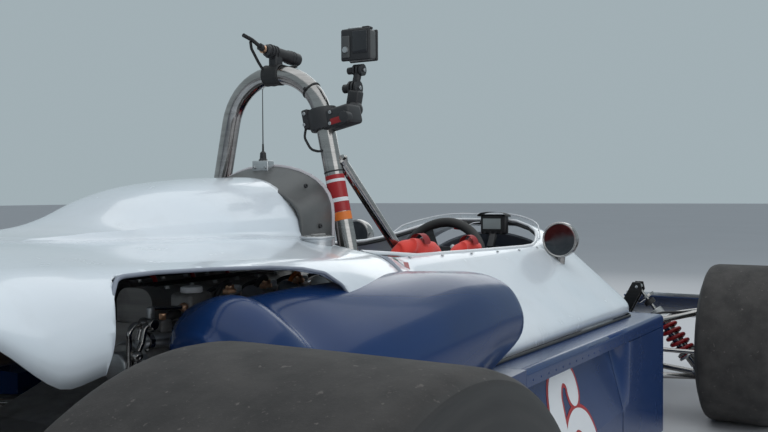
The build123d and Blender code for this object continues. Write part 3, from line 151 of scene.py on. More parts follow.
def rubber(name, axleX, radius):  # worn tread with picked up grit, streaked side walls
    f = Finish(name)
    x, y, z = f.axes()
    dx, dz = x - axleX * mm, z - radius * mm
    reach = (dx * dx + dz * dz) ** 0.5
    angle = dz.maths("ARCTAN2", dz, dx)
    around = f.node("ShaderNodeCombineXYZ", X=angle * 0.6, Y=y * 26.0, Z=reach * 26.0)["Vector"]
    streaks = f.noise(3.0, 6.0, 0.65, around)
    grains, blotch = f.noise(260.0, 4.0, 0.7), f.noise(16.0, 5.0, 0.6)
    tread = reach.step((radius - 14) * mm, (radius - 4) * mm)
    worn = f.mix(blotch.step(0.36, 0.66), (0.034, 0.032, 0.031), (0.060, 0.056, 0.053))
    wall = f.mix(streaks.step(0.3, 0.75), (0.020, 0.020, 0.021), (0.042, 0.041, 0.040))
    grit = (grains.step(0.62, 0.74) + f.noise(95.0, 3.0, 0.6).step(0.66, 0.71)).clamped() * tread
    return f.feed(
        Base_Color=f.mix(grit * 0.6, f.mix(tread, wall, worn), (0.15, 0.135, 0.125)),
        Roughness=(0.62 + tread * 0.22 + streaks * 0.1).clamped(),
        Normal=f.bump(streaks * 0.3 + grains * 0.7 * tread + blotch * 0.8 * tread, 0.5, 0.0012))


def metal(name, colour, shade, roughness, scratch, grime=0.0, cast=0.0):
    f = Finish(name)
    stretched = f.node("ShaderNodeMapping", Vector=f.place, Scale=(1.0, 1.0, 22.0))["Vector"]
    marks = f.noise(6.0, 8.0, 0.7, stretched)
    pits = f.noise(150.0 if cast else 300.0, 5.0, 0.7)
    dirt = (f.noise(22.0, 6.0).step(0.45, 0.75) * grime).clamped()
    base = f.mix(marks.step(0.3, 0.7), colour, shade)
    return f.feed(
        Base_Color=f.mix(dirt, base, (0.035, 0.028, 0.022)), Metallic=1 - dirt * 0.6,
        Roughness=(roughness + marks * scratch + dirt * 0.45).clamped(),
        Normal=f.bump(pits * (0.2 + cast) + marks * 0.3, 0.12 + cast * 0.4, 0.0008))


def plastic(name, colour, shade, roughness, grain=240.0, depth=0.2):
    f = Finish(name)
    fine = f.noise(grain, 4.0, 0.6)
    return f.feed(
        Base_Color=f.mix(f.noise(9.0, 4.0).step(0.3, 0.7), colour, shade),
        Roughness=(roughness + fine * 0.12).clamped(), Normal=f.bump(fine, depth, 0.0005))


def cloth(name, colour, shade, threads=5400.0):
    f = Finish(name)
    x, y, z = ((axis * threads).sine() for axis in f.axes())
    broad = f.noise(18.0, 4.0)
    return f.feed(
        Base_Color=f.mix(broad.step(0.3, 0.7), colour, shade), Roughness=(0.72 + broad * 0.15).clamped(),
        Sheen_Weight=0.25, Normal=f.bump((x + y + z) * 0.16 + 0.5 + broad, 0.35, 0.0006))


def glass(name, colour, roughness, alpha):
    f = Finish(name)
    smears = f.noise(24.0, 5.0)
    return f.feed(
        Base_Color=f.mix(smears.step(0.4, 0.7), colour, tuple(c * 0.92 for c in colour)),
        Roughness=(roughness + smears * 0.05).clamped(), Alpha=(alpha + smears * 0.08).clamped(), Coat_Weight=0.5)


def mirrorPaintedDark(name):
    f = Finish(name)
    smears = f.noise(60.0, 5.0)
    # the glass is coloured near-black: a painted dark reflection of the surroundings
    return f.feed(
        Base_Color=f.mix(smears.step(0.4, 0.7), (0.045, 0.05, 0.055), (0.065, 0.07, 0.075)),
        Metallic=0.9, Roughness=(0.05 + smears * 0.06).clamped())


def heatSteel(name):
    f = Finish(name)
    tints = [(0.0, (0.16, 0.10, 0.07)), (0.35, (0.30, 0.20, 0.12)),
             (0.6, (0.16, 0.15, 0.20)), (1.0, (0.33, 0.31, 0.29))]
    heat = (f.noise(5.0, 5.0) + (f.axes()[0] * 3).sine() * 0.15).clamped()
    return f.feed(
        Base_Color=f.node("ShaderNodeValToRGB", {"stops": tints}, Fac=heat)["Color"],
        Metallic=0.9, Roughness=(0.34 + f.noise(40.0, 5.0) * 0.2).clamped(),
        Normal=f.bump(f.noise(220.0, 4.0), 0.15, 0.0006))


finish = {
    "white": gelcoat("whiteGelcoat", (0.76, 0.81, 0.85), (0.68, 0.76, 0.82), (0.34, 0.33, 0.31), 0.10, 0.6, 0.5),
    "blue": gelcoat("blueGelcoat", (0.005, 0.026, 0.098), (0.007, 0.034, 0.128), (0.026, 0.032, 0.046),
                    0.08, 0.18, 0.24),
    "chrome": metal("brightTube", (0.46, 0.44, 0.43), (0.30, 0.29, 0.28), 0.10, 0.10, 0.12),
    "castAlloy": metal("castAlloy", (0.44, 0.43, 0.42), (0.32, 0.31, 0.30), 0.46, 0.12, 0.55, 0.5),
    "machined": metal("machinedAlloy", (0.62, 0.63, 0.64), (0.48, 0.49, 0.50), 0.26, 0.14, 0.25),
    "rimAlloy": metal("rimAlloy", (0.52, 0.52, 0.52), (0.42, 0.42, 0.42), 0.34, 0.12, 0.30),
    "brass": metal("brassUnion", (0.82, 0.50, 0.33), (0.62, 0.36, 0.22), 0.28, 0.10, 0.25),
    "blackSteel": metal("blackSteel", (0.05, 0.05, 0.052), (0.03, 0.03, 0.03), 0.42, 0.1, 0.3),
    "exhaust": heatSteel("exhaustSteel"),
    "black": plastic("blackPlastic", (0.018, 0.018, 0.020), (0.030, 0.030, 0.032), 0.42),
    "tape": plastic("clothTape", (0.012, 0.012, 0.013), (0.025, 0.025, 0.026), 0.62, 500.0, 0.4),
    "greyShell": plastic("greyShell", (0.070, 0.073, 0.073), (0.105, 0.108, 0.106), 0.36, 160.0, 0.25),
    "red": plastic("redEnamel", (0.42, 0.012, 0.016), (0.30, 0.010, 0.012), 0.30, 60.0, 0.08),
    "orange": plastic("orangeLabel", (0.85, 0.22, 0.03), (0.70, 0.16, 0.02), 0.38, 60.0, 0.08),
    "green": plastic("greenStripe", (0.03, 0.16, 0.09), (0.03, 0.12, 0.07), 0.38, 60.0, 0.08),
    "ivory": plastic("whiteEnamel", (0.80, 0.82, 0.83), (0.74, 0.77, 0.79), 0.30, 60.0, 0.08),
    "seamGrey": plastic("seamTape", (0.20, 0.23, 0.28), (0.27, 0.30, 0.36), 0.45, 300.0, 0.2),
    "liner": plastic("blackLiner", (0.010, 0.010, 0.011), (0.018, 0.018, 0.019), 0.55, 120.0, 0.2),
    "grip": plastic("stitchedGrip", (0.014, 0.013, 0.013), (0.028, 0.026, 0.025), 0.50, 380.0, 0.5),
    "redDark": plastic("redPad", (0.34, 0.016, 0.018), (0.22, 0.010, 0.012), 0.55, 300.0, 0.3),
    "dialFace": plastic("dialFace", (0.022, 0.022, 0.024), (0.034, 0.034, 0.036), 0.24, 400.0, 0.05),
    # pale colour for the headrest's front edge: a painted highlight
    "paleEdge": plastic("paleEdge", (0.50, 0.48, 0.50), (0.60, 0.58, 0.60), 0.42, 60.0, 0.10),
    "display": plastic("displayGlass", (0.30, 0.34, 0.34), (0.36, 0.40, 0.40), 0.18, 400.0, 0.05),
    "redWeb": cloth("redWebbing", (0.80, 0.045, 0.025), (0.62, 0.030, 0.020)),
    "seatCloth": cloth("seatCloth", (0.020, 0.020, 0.022), (0.034, 0.034, 0.038)),
    "screen": glass("clearScreen", (0.80, 0.86, 0.88), 0.04, 0.20),
    "lens": glass("darkLens", (0.012, 0.012, 0.016), 0.05, 0.92),
    "mirror": mirrorPaintedDark("mirrorPaintedDark"),
    "frontTyre": rubber("frontSlick", frontAxle, 260),
    "rearTyre": rubber("rearSlick", rearAxle, 311),
}
print("finishes made")

dressing = {  # the CAD's own nodes by finish
    "blue": "tub side_pods front_wings hip_ducts rear_wing",
    "white": "cockpit_surround nose engine_cover",
    "chrome": "roll_hoop front_wishbones rear_wishbones mirrors dampers steering_rack",
    "greyShell": "headrest",
    "black": "lap_timer action_camera bullet_camera antenna dashboard steering_wheel",
    "screen": "windscreen",
    "mirror": "mirror_glasses",
    "castAlloy": "engine gearbox",
    "machined": "filler_cap intakes wing_pylon rack_housing front_upright_left front_upright_right rear_uprights",
    "red": "springs",
    "exhaust": "exhaust",
    "rimAlloy": "front_rim_left front_rim_right rear_rim_left rear_rim_right",
    "frontTyre": "front_tyre_left front_tyre_right",
    "rearTyre": "rear_tyre_left rear_tyre_right",
    "seatCloth": "seat",
    "blackSteel": "rear_beam damper_brackets driveshaft_left driveshaft_right",
}
for look, names in dressing.items():
    for name in names.split():
        nodes[name].data.materials.clear()
        nodes[name].data.materials.append(finish[look])


# Floor, light and camera, in metres

stage = {"floorSize": 120.0, "floorColour": (0.60, 0.61, 0.62), "world": 0.42, "light": (0.80, 0.90, 1.0),
         "backdrop": (0.36, 0.43, 0.46)}


def makeStage():
    bm = bmesh.new()
    bmesh.ops.create_grid(bm, x_segments=1, y_segments=1, size=stage["floorSize"] / 2)
    mesh = bpy.data.meshes.new("studioFloor")
    bm.to_mesh(mesh)
    bm.free()
    floor = bpy.data.objects.new("studioFloor", mesh)
    bpy.context.scene.collection.objects.link(floor)
    f = Finish("floorPaint")
    colour = stage["floorColour"]
    patches = f.mix(f.noise(0.8, 4.0).step(0.3, 0.7), colour, tuple(c * 0.96 for c in colour))
    mesh.materials.append(f.feed(Base_Color=patches, Roughness=0.85))


def makeWorld():
    world = bpy.data.worlds.new("softSky")
    bpy.context.scene.world = world
    world.use_nodes = True
    g = Graph(world.node_tree)
    lit = g.node("ShaderNodeBackground", Color=stage["light"], Strength=stage["world"])["Background"]
    seen = g.node("ShaderNodeBackground", Color=stage["backdrop"])["Background"]
    rays = g.node("ShaderNodeLightPath")  # the camera, metal and glass see the backdrop
    share = (rays["Is Camera Ray"] + rays["Is Glossy Ray"] + rays["Is Transmission Ray"]).clamped()
    sky = g.node("ShaderNodeMixShader", Fac=share, Shader=lit, Shader_001=seen)["Shader"]
    put(g.tree, g.tree.nodes["World Output"].inputs["Surface"], sky)


lamps = {  # name: place, aim, size, watts
    "overhead": ((0.2, -0.4, 4.4), (0.0, 0.0, 0.4), 7.0, 118),
    "sideFill": ((-2.0, -5.0, 1.7), (-0.4, 0.0, 0.5), 4.5, 64),
    "frontFill": ((5.0, 1.6, 2.8), (0.3, 0.0, 0.4), 3.0, 30),
}


def makeLamps():
    for name, (place, aim, size, watts) in lamps.items():
        light = bpy.data.lights.new(name, "AREA")
        light.size, light.energy = size, watts
        lamp = bpy.data.objects.new(name, light)
        lamp.location = place
        lamp.rotation_euler = (Vector(aim) - Vector(place)).to_track_quat("-Z", "Y").to_euler()
        bpy.context.scene.collection.objects.link(lamp)


# the photograph's place: low behind the right rear wheel, looking forward over it
viewpoint = {"place": (-1.817, -1.107, 0.760), "yaw": 30.82, "pitch": -1.46, "roll": -0.30, "lens": 40.28}


def makeCamera():
    data = bpy.data.cameras.new("viewCamera")
    data.lens, data.sensor_width = viewpoint["lens"], 36
    camera = bpy.data.objects.new("viewCamera", data)
    yaw, pitch, roll = (math.radians(viewpoint[key]) for key in ("yaw", "pitch", "roll"))
    ahead = Vector((math.cos(pitch) * math.cos(yaw), math.cos(pitch) * math.sin(yaw), math.sin(pitch)))
    right = Vector((math.sin(yaw), -math.cos(yaw), 0))
    up = right.cross(ahead)
    turn = Matrix.Rotation(-roll, 3, ahead)
    axes = Matrix((turn @ right, turn @ up, -ahead)).transposed().to_4x4()
    camera.matrix_world = Matrix.Translation(viewpoint["place"]) @ axes
    bpy.context.scene.collection.objects.link(camera)
    bpy.context.scene.camera = camera


# Shapes

def along(rows, x):  # smooth curve through rows of numbers, by their first column
    rows = sorted(rows)
    if x <= rows[0][0]:
        return rows[0][1:]
    if x >= rows[-1][0]:
        return rows[-1][1:]
    i = max(k for k in range(len(rows) - 1) if rows[k][0] <= x)
    before, a, b, after = rows[max(i - 1, 0)], rows[i], rows[i + 1], rows[min(i + 2, len(rows) - 1)]
    width = b[0] - a[0]
    t = (x - a[0]) / width
    values = []
    for k in range(1, len(a)):
        slopeA = (b[k] - before[k]) / (b[0] - before[0]) * width
        slopeB = (after[k] - a[k]) / (after[0] - a[0]) * width
        values.append((2 * t**3 - 3 * t**2 + 1) * a[k] + (t**3 - 2 * t**2 + t) * slopeA
                      + (3 * t**2 - 2 * t**3) * b[k] + (t**3 - t**2) * slopeB)
    return tuple(values)


def curved(points, steps):  # smooth path through points, in even steps from each to the next
    out = []
    for i in range(len(points) - 1):
        four = [points[min(max(i + k, 0), len(points) - 1)] for k in (-1, 0, 1, 2)]
        for t in (k / steps for k in range(steps)):
            out.append(tuple(0.5 * (2 * b + (c - a) * t + (2 * a - 5 * b + 4 * c - d) * t ** 2
                                    + (3 * b - a - 3 * c + d) * t ** 3) for a, b, c, d in zip(*four)))
    return out + [tuple(points[-1])]


def spaced(start, end, step):  # even stations, both ends included
    count = max(1, round(abs(end - start) / step))
    return [start + (end - start) * i / count for i in range(count + 1)]


def circle(count, radius, start=0.0):  # points evenly round a circle, from an angle in degrees
    angles = [math.radians(start + 360 * k / count) for k in range(count)]
    return [(radius * math.cos(a), radius * math.sin(a)) for a in angles]


def rounded(points, reach, steps):  # a polyline with soft corners and always the same number of points
    points = [Vector(p) for p in points]
    out = [points[0]]
    for before, corner, after, r in zip(points, points[1:], points[2:], reach):
        back, on = before - corner, after - corner
        a = corner + back.normalized() * min(r, back.length * 0.49)
        b = corner + on.normalized() * min(r, on.length * 0.49)
        for t in (i / steps for i in range(steps + 1)):
            out.append(a * (1 - t) ** 2 + corner * 2 * t * (1 - t) + b * t ** 2)
    return out + [points[-1]]


def bothWays(profile):  # a lathe profile and its mirror image
    return profile + [(r, -h) for r, h in reversed(profile) if h]


def inside(x, y, outline):
    hit = False
    for (x1, y1), (x2, y2) in zip(outline, outline[1:] + outline[:1]):
        if (y1 > y) != (y2 > y) and x < (x2 - x1) * (y - y1) / (y2 - y1) + x1:
            hit = not hit
    return hit


def facing(direction):  # turns +Z to a direction
    return Vector(direction).to_track_quat("Z", "Y").to_matrix().to_4x4()


def vertsOf(geom):
    return [g for g in geom if isinstance(g, bmesh.types.BMVert)]


def pour(source, target):  # one bmesh into another
    mesh = bpy.data.meshes.new("step")
    source.to_mesh(mesh)
    source.free()
    target.from_mesh(mesh)
    bpy.data.meshes.remove(mesh)


def drawRows(bm, rows, close=False):  # a row of edges, extruded from station to station
    line = [bm.verts.new(p) for p in rows[0]]
    edges = [bm.edges.new(pair) for pair in zip(line, line[1:])]
    if close:
        edges.append(bm.edges.new((line[-1], line[0])))
    for row in rows[1:]:
        grown = bmesh.ops.extrude_edge_only(bm, edges=edges)["geom"]
        match = {edge.other_vert(v): v for v in vertsOf(grown) for edge in v.link_edges}
        line = [match[v] for v in line]
        for vert, place in zip(line, row):
            vert.co = place
        kept = set(line)
        edges = [g for g in grown if isinstance(g, bmesh.types.BMEdge) and kept.issuperset(g.verts)]
    if close:
        bmesh.ops.holes_fill(bm, edges=[e for e in bm.edges if len(e.link_faces) == 1], sides=0)
    return bm


def knife(bm, outline, axes, keep):  # splits faces along an outline seen down one axis, and drops what it holds
    a, b = axes
    for start, end in zip(outline, outline[1:] + outline[:1]):
        span = math.dist(start, end)
        middle = ((start[0] + end[0]) / 2, (start[1] + end[1]) / 2)
        geom = set()
        for face in bm.faces:
            centre = face.calc_center_median()
            if keep(centre) and math.dist((centre[a], centre[b]), middle) < span / 2 + 60:
                geom.update([face, *face.edges, *face.verts])
        origin, normal = Vector(), Vector()
        origin[a], origin[b] = start
        normal[a], normal[b] = end[1] - start[1], start[0] - end[0]
        bmesh.ops.bisect_plane(bm, geom=list(geom), dist=1e-3, plane_co=origin, plane_no=normal)
    centres = {f: f.calc_center_median() for f in bm.faces}
    lost = [f for f, c in centres.items() if keep(c) and inside(c[a], c[b], outline)]
    bmesh.ops.delete(bm, geom=lost, context="FACES")
    bmesh.ops.remove_doubles(bm, verts=bm.verts, dist=1e-2)
    return bm


class Piece:
    def __init__(self, name, looks, slot, stands=(), body="chassis"):
        self.name, self.slot, self.stands, self.body = name, slot, stands, body
        self.looks = [finish[look] for look in looks.split()]
        self.bm = bmesh.new()
        self.origin = Vector()  # what the places below are counted from

    def start(self, x=0, y=0, z=0):
        self.origin = Vector((x, y, z))
        return self

    def take(self, part, look=0, turn=None):  # adds a part that was built on its own, and brings it to metres
        part.transform(turn or Matrix())
        bmesh.ops.remove_doubles(part, verts=part.verts, dist=1e-3)
        bmesh.ops.recalc_face_normals(part, faces=part.faces)
        for face in part.faces:
            face.material_index = look
        part.transform(toMetres)
        pour(part, self.bm)
        return self

    def placed(self, part, look, place, turn):
        return self.take(part, look, Matrix.Translation(self.origin + Vector(place)) @ turn)

    def soften(self, part, edges, width, segments=2):  # in metres, which the bevel's own limits are meant for
        if width:
            part.transform(toMetres)
            bmesh.ops.bevel(part, geom=edges, offset=width * mm, affect="EDGES", segments=segments,
                            profile=0.5, material=-1)
            part.transform(toMetres.inverted())

    def rod(self, start, end, radius, look=0, sides=28, soft=0.0, tip=None):
        start, run = Vector(start), Vector(end) - Vector(start)
        part = bmesh.new()
        bmesh.ops.create_cone(part, cap_ends=True, segments=sides, radius1=radius,
                              radius2=radius if tip is None else tip, depth=run.length)
        self.soften(part, [e for e in part.edges if any(len(f.verts) > 4 for f in e.link_faces)], soft)
        return self.placed(part, look, start + run / 2, facing(run))

    def block(self, centre, size, look=0, soft=0.0, turn=Matrix(), segments=3):
        part = bmesh.new()
        bmesh.ops.create_cube(part, size=1, matrix=Matrix.Diagonal((*size, 1)))
        self.soften(part, part.edges[:], soft, segments)
        return self.placed(part, look, centre, turn)

    def lathe(self, profile, centre, axis, look=0, steps=64):
        part = bmesh.new()
        verts = [part.verts.new((r, 0, h)) for r, h in profile]
        edges = [part.edges.new(pair) for pair in zip(verts, verts[1:])]
        bmesh.ops.spin(part, geom=verts + edges, cent=(0, 0, 0), axis=(0, 0, 1), angle=2 * math.pi, steps=steps,
                       use_merge=True)
        return self.placed(part, look, centre, facing(axis))

    def rivet(self, place, normal, look=0, steps=10, rise=1.2, flat=1.6, radius=2.6):
        return self.lathe([(0, rise), (flat, 1), (radius, 0)], place, normal, look, steps)

    def ball(self, centre, radius, look=0, sides=24):
        part = bmesh.new()
        bmesh.ops.create_uvsphere(part, u_segments=sides, v_segments=sides // 2, radius=radius)
        return self.placed(part, look, centre, Matrix())

    def bolt(self, place, normal, size, look=0):  # hexagon head on a washer
        place, normal = Vector(place), Vector(normal).normalized()
        self.rod(place, place + normal * size * 0.2, size * 1.15, look, 20)
        return self.rod(place, place + normal * size * 0.95, size * 0.92, look, 6, size * 0.08)

    def capScrew(self, place, normal, size, look=0):  # round head with a hexagon socket
        head = ((0, 0.45), (0.42, 0.45), (0.5, 0.95), (0.9, 0.95), (1, 0.85), (1, 0))
        return self.lathe([(r * size, h * size) for r, h in head], place, normal, look, 14)

    def curve(self, kind, radius, sides):
        data = bpy.data.curves.new("curve", "CURVE")
        data.dimensions, data.resolution_u = "3D", 10
        data.bevel_depth, data.bevel_resolution, data.use_fill_caps = radius * mm, sides, True
        return data, data.splines.new(kind)

    def takeCurve(self, data, look):  # the curve is in metres too
        holder = bpy.data.objects.new("curve", data)
        mesh = bpy.data.meshes.new_from_object(holder)
        part = bmesh.new()
        part.from_mesh(mesh)
        bpy.data.objects.remove(holder)
        bpy.data.meshes.remove(mesh)
        return self.placed(part, look, (0, 0, 0), toMetres.inverted())

    def pipe(self, points, radius, bend=20, look=0, sides=4):
        points = [Vector(p) for p in points]
        first, last = points[0], points[-1]
        knots = [(first, first.lerp(points[1], -0.1), first.lerp(points[1], 0.1))]
        for before, corner, after in zip(points, points[1:], points[2:]):
            back, on = (before - corner).normalized(), (after - corner).normalized()
            angle = math.pi - back.angle(on)
            if angle < 1e-4:
                continue
            longest = min((before - corner).length, (after - corner).length) * 0.495
            length = min(bend * math.tan(angle / 2), longest)
            handle = length / math.tan(angle / 2) * 4 / 3 * math.tan(angle / 4)
            a, b = corner + back * length, corner + on * length
            knots += [(a, a + back * handle * 0.3, a - back * handle), (b, b - on * handle, b + on * handle * 0.3)]
        knots.append((last, last.lerp(points[-2], 0.1), last.lerp(points[-2], -0.1)))
        data, spline = self.curve("BEZIER", radius, sides)
        spline.bezier_points.add(len(knots) - 1)
        for knot, (place, left, right) in zip(spline.bezier_points, knots):
            knot.handle_left_type = knot.handle_right_type = "FREE"
            knot.co, knot.handle_left, knot.handle_right = place * mm, left * mm, right * mm
        return self.takeCurve(data, look)

    def helix(self, start, end, radius, wire, turns, look=0, sides=3):  # coil spring with closed ends
        start, run = Vector(start), Vector(end) - Vector(start)
        turn = Matrix.Translation(start) @ facing(run)
        data, spline = self.curve("POLY", wire, sides)
        count = int(turns * 20)
        spline.points.add(count)
        for i, point in enumerate(spline.points):
            t = i / count
            rise = min(1, max(0, (t - 0.09) / 0.82)) * 0.94 + t * 0.06
            angle = t * turns * 2 * math.pi
            spot = turn @ Vector((radius * math.cos(angle), radius * math.sin(angle), run.length * rise))
            point.co = (*(spot * mm), 1)
        return self.takeCurve(data, look)

    def plate(self, outline, thickness, look=0, turn=None, soft=0.0):  # outline in X and Y, thickened upwards
        part = bmesh.new()
        face = part.faces.new([part.verts.new((x, y, 0)) for x, y in outline])
        top = bmesh.ops.extrude_face_region(part, geom=[face])["geom"]
        bmesh.ops.translate(part, verts=vertsOf(top), vec=(0, 0, thickness))
        self.soften(part, part.edges[:], soft)
        return self.take(part, look, turn)

    def rows(self, rows, look=0, close=False):
        return self.take(drawRows(bmesh.new(), rows, close), look)

    def twin(self, merge=False):  # the same again on the car's other side
        copy = bmesh.ops.duplicate(self.bm, geom=self.bm.verts[:] + self.bm.edges[:] + self.bm.faces[:])["geom"]
        bmesh.ops.scale(self.bm, vec=(1, -1, 1), verts=vertsOf(copy))
        bmesh.ops.reverse_faces(self.bm, faces=[g for g in copy if isinstance(g, bmesh.types.BMFace)])
        if merge:
            bmesh.ops.remove_doubles(self.bm, verts=self.bm.verts, dist=1e-5)
        return self

    def done(self, wall=0.0, side=-1.0, sharp=38, levels=0, fill=None):
        for line in self.bm.edges:
            if len(line.link_faces) == 2:
                line.smooth = line.calc_face_angle(0) < math.radians(sharp)
        for face in self.bm.faces:
            face.smooth = True
        mesh = bpy.data.meshes.new(self.name)
        self.bm.to_mesh(mesh)
        self.bm.free()
        for look in self.looks:
            mesh.materials.append(look)
        piece = bpy.data.objects.new(self.name, mesh)
        bpy.context.scene.collection.objects.link(piece)
        if wall:
            solid = piece.modifiers.new("wall", "SOLIDIFY")
            solid.thickness, solid.offset, solid.use_even_offset = wall * mm, side, True
        if levels:
            sub = piece.modifiers.new("smooth", "SUBSURF")
            sub.levels = sub.render_levels = levels
        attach(piece, self.body)
        if self.stands:
            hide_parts(*self.stands)


# Engine cover: deck, sloping sides and the hump in one skin

cover = {
    "rows": [  # x, hump top, shoulder y z, hump foot y z, deck edge y z, knee y z, foot y z
        (-347.8, 640, 110, 640, 200, 638, 266, 634, 460, 470, 460, 446),
        (-440, 664, 120, 664, 210, 655, 300, 642, 458, 480, 457, 448),
        (-525, 684, 140, 684, 215, 670, 335, 648, 455, 488, 455, 448),
        (-700, 690, 150, 690, 215, 686, 396, 652, 450, 508, 452, 450),
        (-850, 693, 150, 693, 215, 690, 398, 662, 446, 560, 446, 512),
        (-1040, 697, 150, 697, 215, 694, 400, 672, 440, 606, 440, 566),
        (-1225, 705, 150, 705, 215, 702, 404, 680, 442, 612, 442, 584),
        (-1280, 708, 147, 708, 210, 705, 399, 682, 442, 606, 442, 578),
        (-1300, 709, 146, 709, 208, 706, 397, 682, 441, 614, 441, 586),
        (-1357, 713, 142, 713, 202, 710, 391, 684, 434, 650, 434, 632),
        (-1420, 717, 136, 717, 196, 714, 382, 687, 414, 676, 414, 666),
        (-1505, 722, 130, 722, 190, 720, 370, 690, 388, 686, 388, 678),
    ],
    "hump": [(-525, 170, 712, 794), (-640, 172, 712, 790), (-772, 166, 708, 777), (-850, 152, 704, 757),
             (-905, 138, 700, 730), (-965, 118, 696, 706), (-1060, 84, 690, 692)],  # x, half width, shoulder, top
    "rear": -1505, "front": -457, "mouth": -525, "tail": -1060, "fade": 90, "blend": 16,
    "shoulder": 0.92, "arch": 3.1, "fall": 5.0,  # the hump's section
    "opening": [(-1250, 400), (-1236, 584), (-1203, 654), (-1188, 671), (-1178, 674), (-1127, 674), (-1028, 670),
                (-920, 664), (-850, 657), (-800, 647), (-764, 626), (-744, 592), (-732, 545), (-705, 470), (-690, 400)],
    "wall": 4, "step": 12, "lip": 2.6,
}


def coverHeight(x, y):  # top of the engine cover, hump included
    top, shoulderY, shoulderZ, footY, footZ, edgeY, edgeZ = along(cover["rows"], x)[:7]
    if y <= shoulderY:
        deck = top
    elif y <= footY:
        deck = top + (footZ - top) * (y - shoulderY) / (footY - shoulderY)
    else:
        deck = footZ + (edgeZ - footZ) * (y - footY) / (edgeY - footY)
    if not cover["tail"] < x <= cover["mouth"] + 1:
        return deck
    halfWidth, shoulder, crown = along(cover["hump"], x)
    share = y / halfWidth
    if share < cover["shoulder"]:
        arch = crown - (crown - shoulder) * (share / cover["shoulder"]) ** cover["arch"]
    else:
        arch = shoulder - (share - cover["shoulder"]) * halfWidth * cover["fall"]
    fade = min(1, (x - cover["tail"]) / cover["fade"])
    arch = deck - 30 + (arch - deck + 30) * (0.35 + 0.65 * fade)
    gap = (arch - deck) / cover["blend"]  # soft join of hump and deck
    return deck + cover["blend"] * (math.log1p(math.exp(-abs(gap))) + max(gap, 0))


def coverRow(x, ahead):
    footY, footZ, edgeY, edgeZ, kneeY, kneeZ, lowY, lowZ = along(cover["rows"], x)[3:]
    if ahead:  # beside the headrest, in front of the hump's mouth
        ys = [183 + (footY - 158) * i / 26 for i in range(27)]
    else:  # close together where the hump meets the deck
        half = along(cover["hump"], x)[0]
        ys = [half * k / 14 for k in range(11)] + [half * (0.80 + 0.03 * k) for k in range(16)]
        ys += [ys[-1] + (footY + 25 - ys[-1]) * k / 6 for k in range(1, 7)]
    points = [Vector((x, y, coverHeight(x, y))) for y in ys]
    return points[:-1] + rounded([points[-1], (x, edgeY, edgeZ), (x, kneeY, kneeZ), (x, lowY, lowZ)], (52, 20), 8)


def makeEngineCover():
    piece = Piece("engineCoverSkin", "white", "white_paint", ["engine_cover"])
    skin = drawRows(bmesh.new(), [coverRow(x, False) for x in spaced(cover["rear"], cover["mouth"], cover["step"])])
    front = [coverRow(x, True) for x in spaced(cover["mouth"], cover["front"], cover["step"])]
    pour(drawRows(bmesh.new(), front), skin)
    piece.take(knife(skin, cover["opening"], (0, 2), lambda c: c.y > 360)).twin(merge=True)
    bmesh.ops.recalc_face_normals(piece.bm, faces=piece.bm.faces)
    piece.done(wall=cover["wall"])
    lip = Piece("openingLip", "seamGrey", "white_paint")
    path = []
    for x, z in cover["opening"][1:-2]:  # the rolled edge of the side opening
        edgeY, edgeZ, kneeY, kneeZ = along(cover["rows"], x)[5:9]
        share = min(1, max(0, (edgeZ - z) / (edgeZ - kneeZ)))
        path.append((x, edgeY + (kneeY - edgeY) * share - 4.5, z))
    lip.pipe(path, cover["lip"], 30, sides=3).twin().done()


# Hip ducts: a long swooping box beside the cockpit, then a valley and a smaller lobe

duct = {
    "rows": [  # x, then shelf edge, shelf, ridge, shoulder, side, foot as y z
        (-318, 300, 606, 385, 612, 452, 607, 499, 580, 524, 517, 484, 439),
        (-400, 318, 614, 395, 618, 450, 614, 502, 584, 527, 518, 486, 439),
        (-491, 335, 622, 398, 624, 446, 618, 502, 586, 529, 520, 500, 439),
        (-640, 352, 627, 398, 623, 442, 612, 498, 580, 528, 520, 504, 439),
        (-760, 358, 630, 400, 622, 441, 604, 492, 572, 522, 515, 502, 439),
        (-850, 360, 632, 400, 619, 440, 596, 486, 562, 514, 510, 498, 439),
        (-912, 356, 630, 398, 610, 438, 584, 480, 550, 503, 502, 494, 443),
        (-928, 352, 629, 396, 611, 438, 587, 480, 552, 501, 502, 492, 446),
        (-950, 344, 628, 392, 624, 438, 607, 480, 570, 499, 512, 490, 450),
        (-985, 332, 622, 388, 637, 436, 625, 476, 585, 495, 522, 486, 458),
        (-1018, 328, 612, 386, 634, 430, 621, 469, 582, 487, 522, 480, 468),
        (-1044, 336, 596, 384, 616, 426, 604, 459, 566, 475, 512, 470, 478),
        (-1054, 344, 584, 384, 601, 422, 590, 450, 556, 464, 508, 460, 486),
    ],
    "front": -325, "valley": -880, "rear": -1054, "step": 14, "fine": 6, "corners": (20, 30, 34, 44, 56),
    "sweep": 88, "sweepEnd": 260, "sweepTop": 505, "sweepHeight": 66,  # the mouth leans back under the top
    "mouth": [(-60, 60), (-8, 14), (3, 9), (6, 4.5), (4, 1.6)],  # forward and inward steps of the rolled mouth
    "tail": [(4, 0.06), (7, 0.15), (9, 0.3), (10, 0.55), (10, 0.98)],  # back, and share towards the middle
}


def ductRow(x, shift=0.0, shrink=0.0):
    values = along(duct["rows"], x)
    corners = [(x, -values[k], values[k + 1]) for k in range(0, 12, 2)]
    corners = [(x, corners[0][1], corners[-1][2] + 60)] + corners  # the hidden inner wall first
    row = rounded(corners, duct["corners"], 7)
    middle = sum(row, Vector()) / len(row)
    row = [p + (middle - p).normalized() * shrink for p in row]
    fade = max(0, 1 - (-318 - x) / duct["sweepEnd"])
    for p in row:
        drop = max(0, min(1, (duct["sweepTop"] - p.z) / duct["sweepHeight"]))
        p.x += shift - duct["sweep"] * fade * drop ** 1.7
    return row


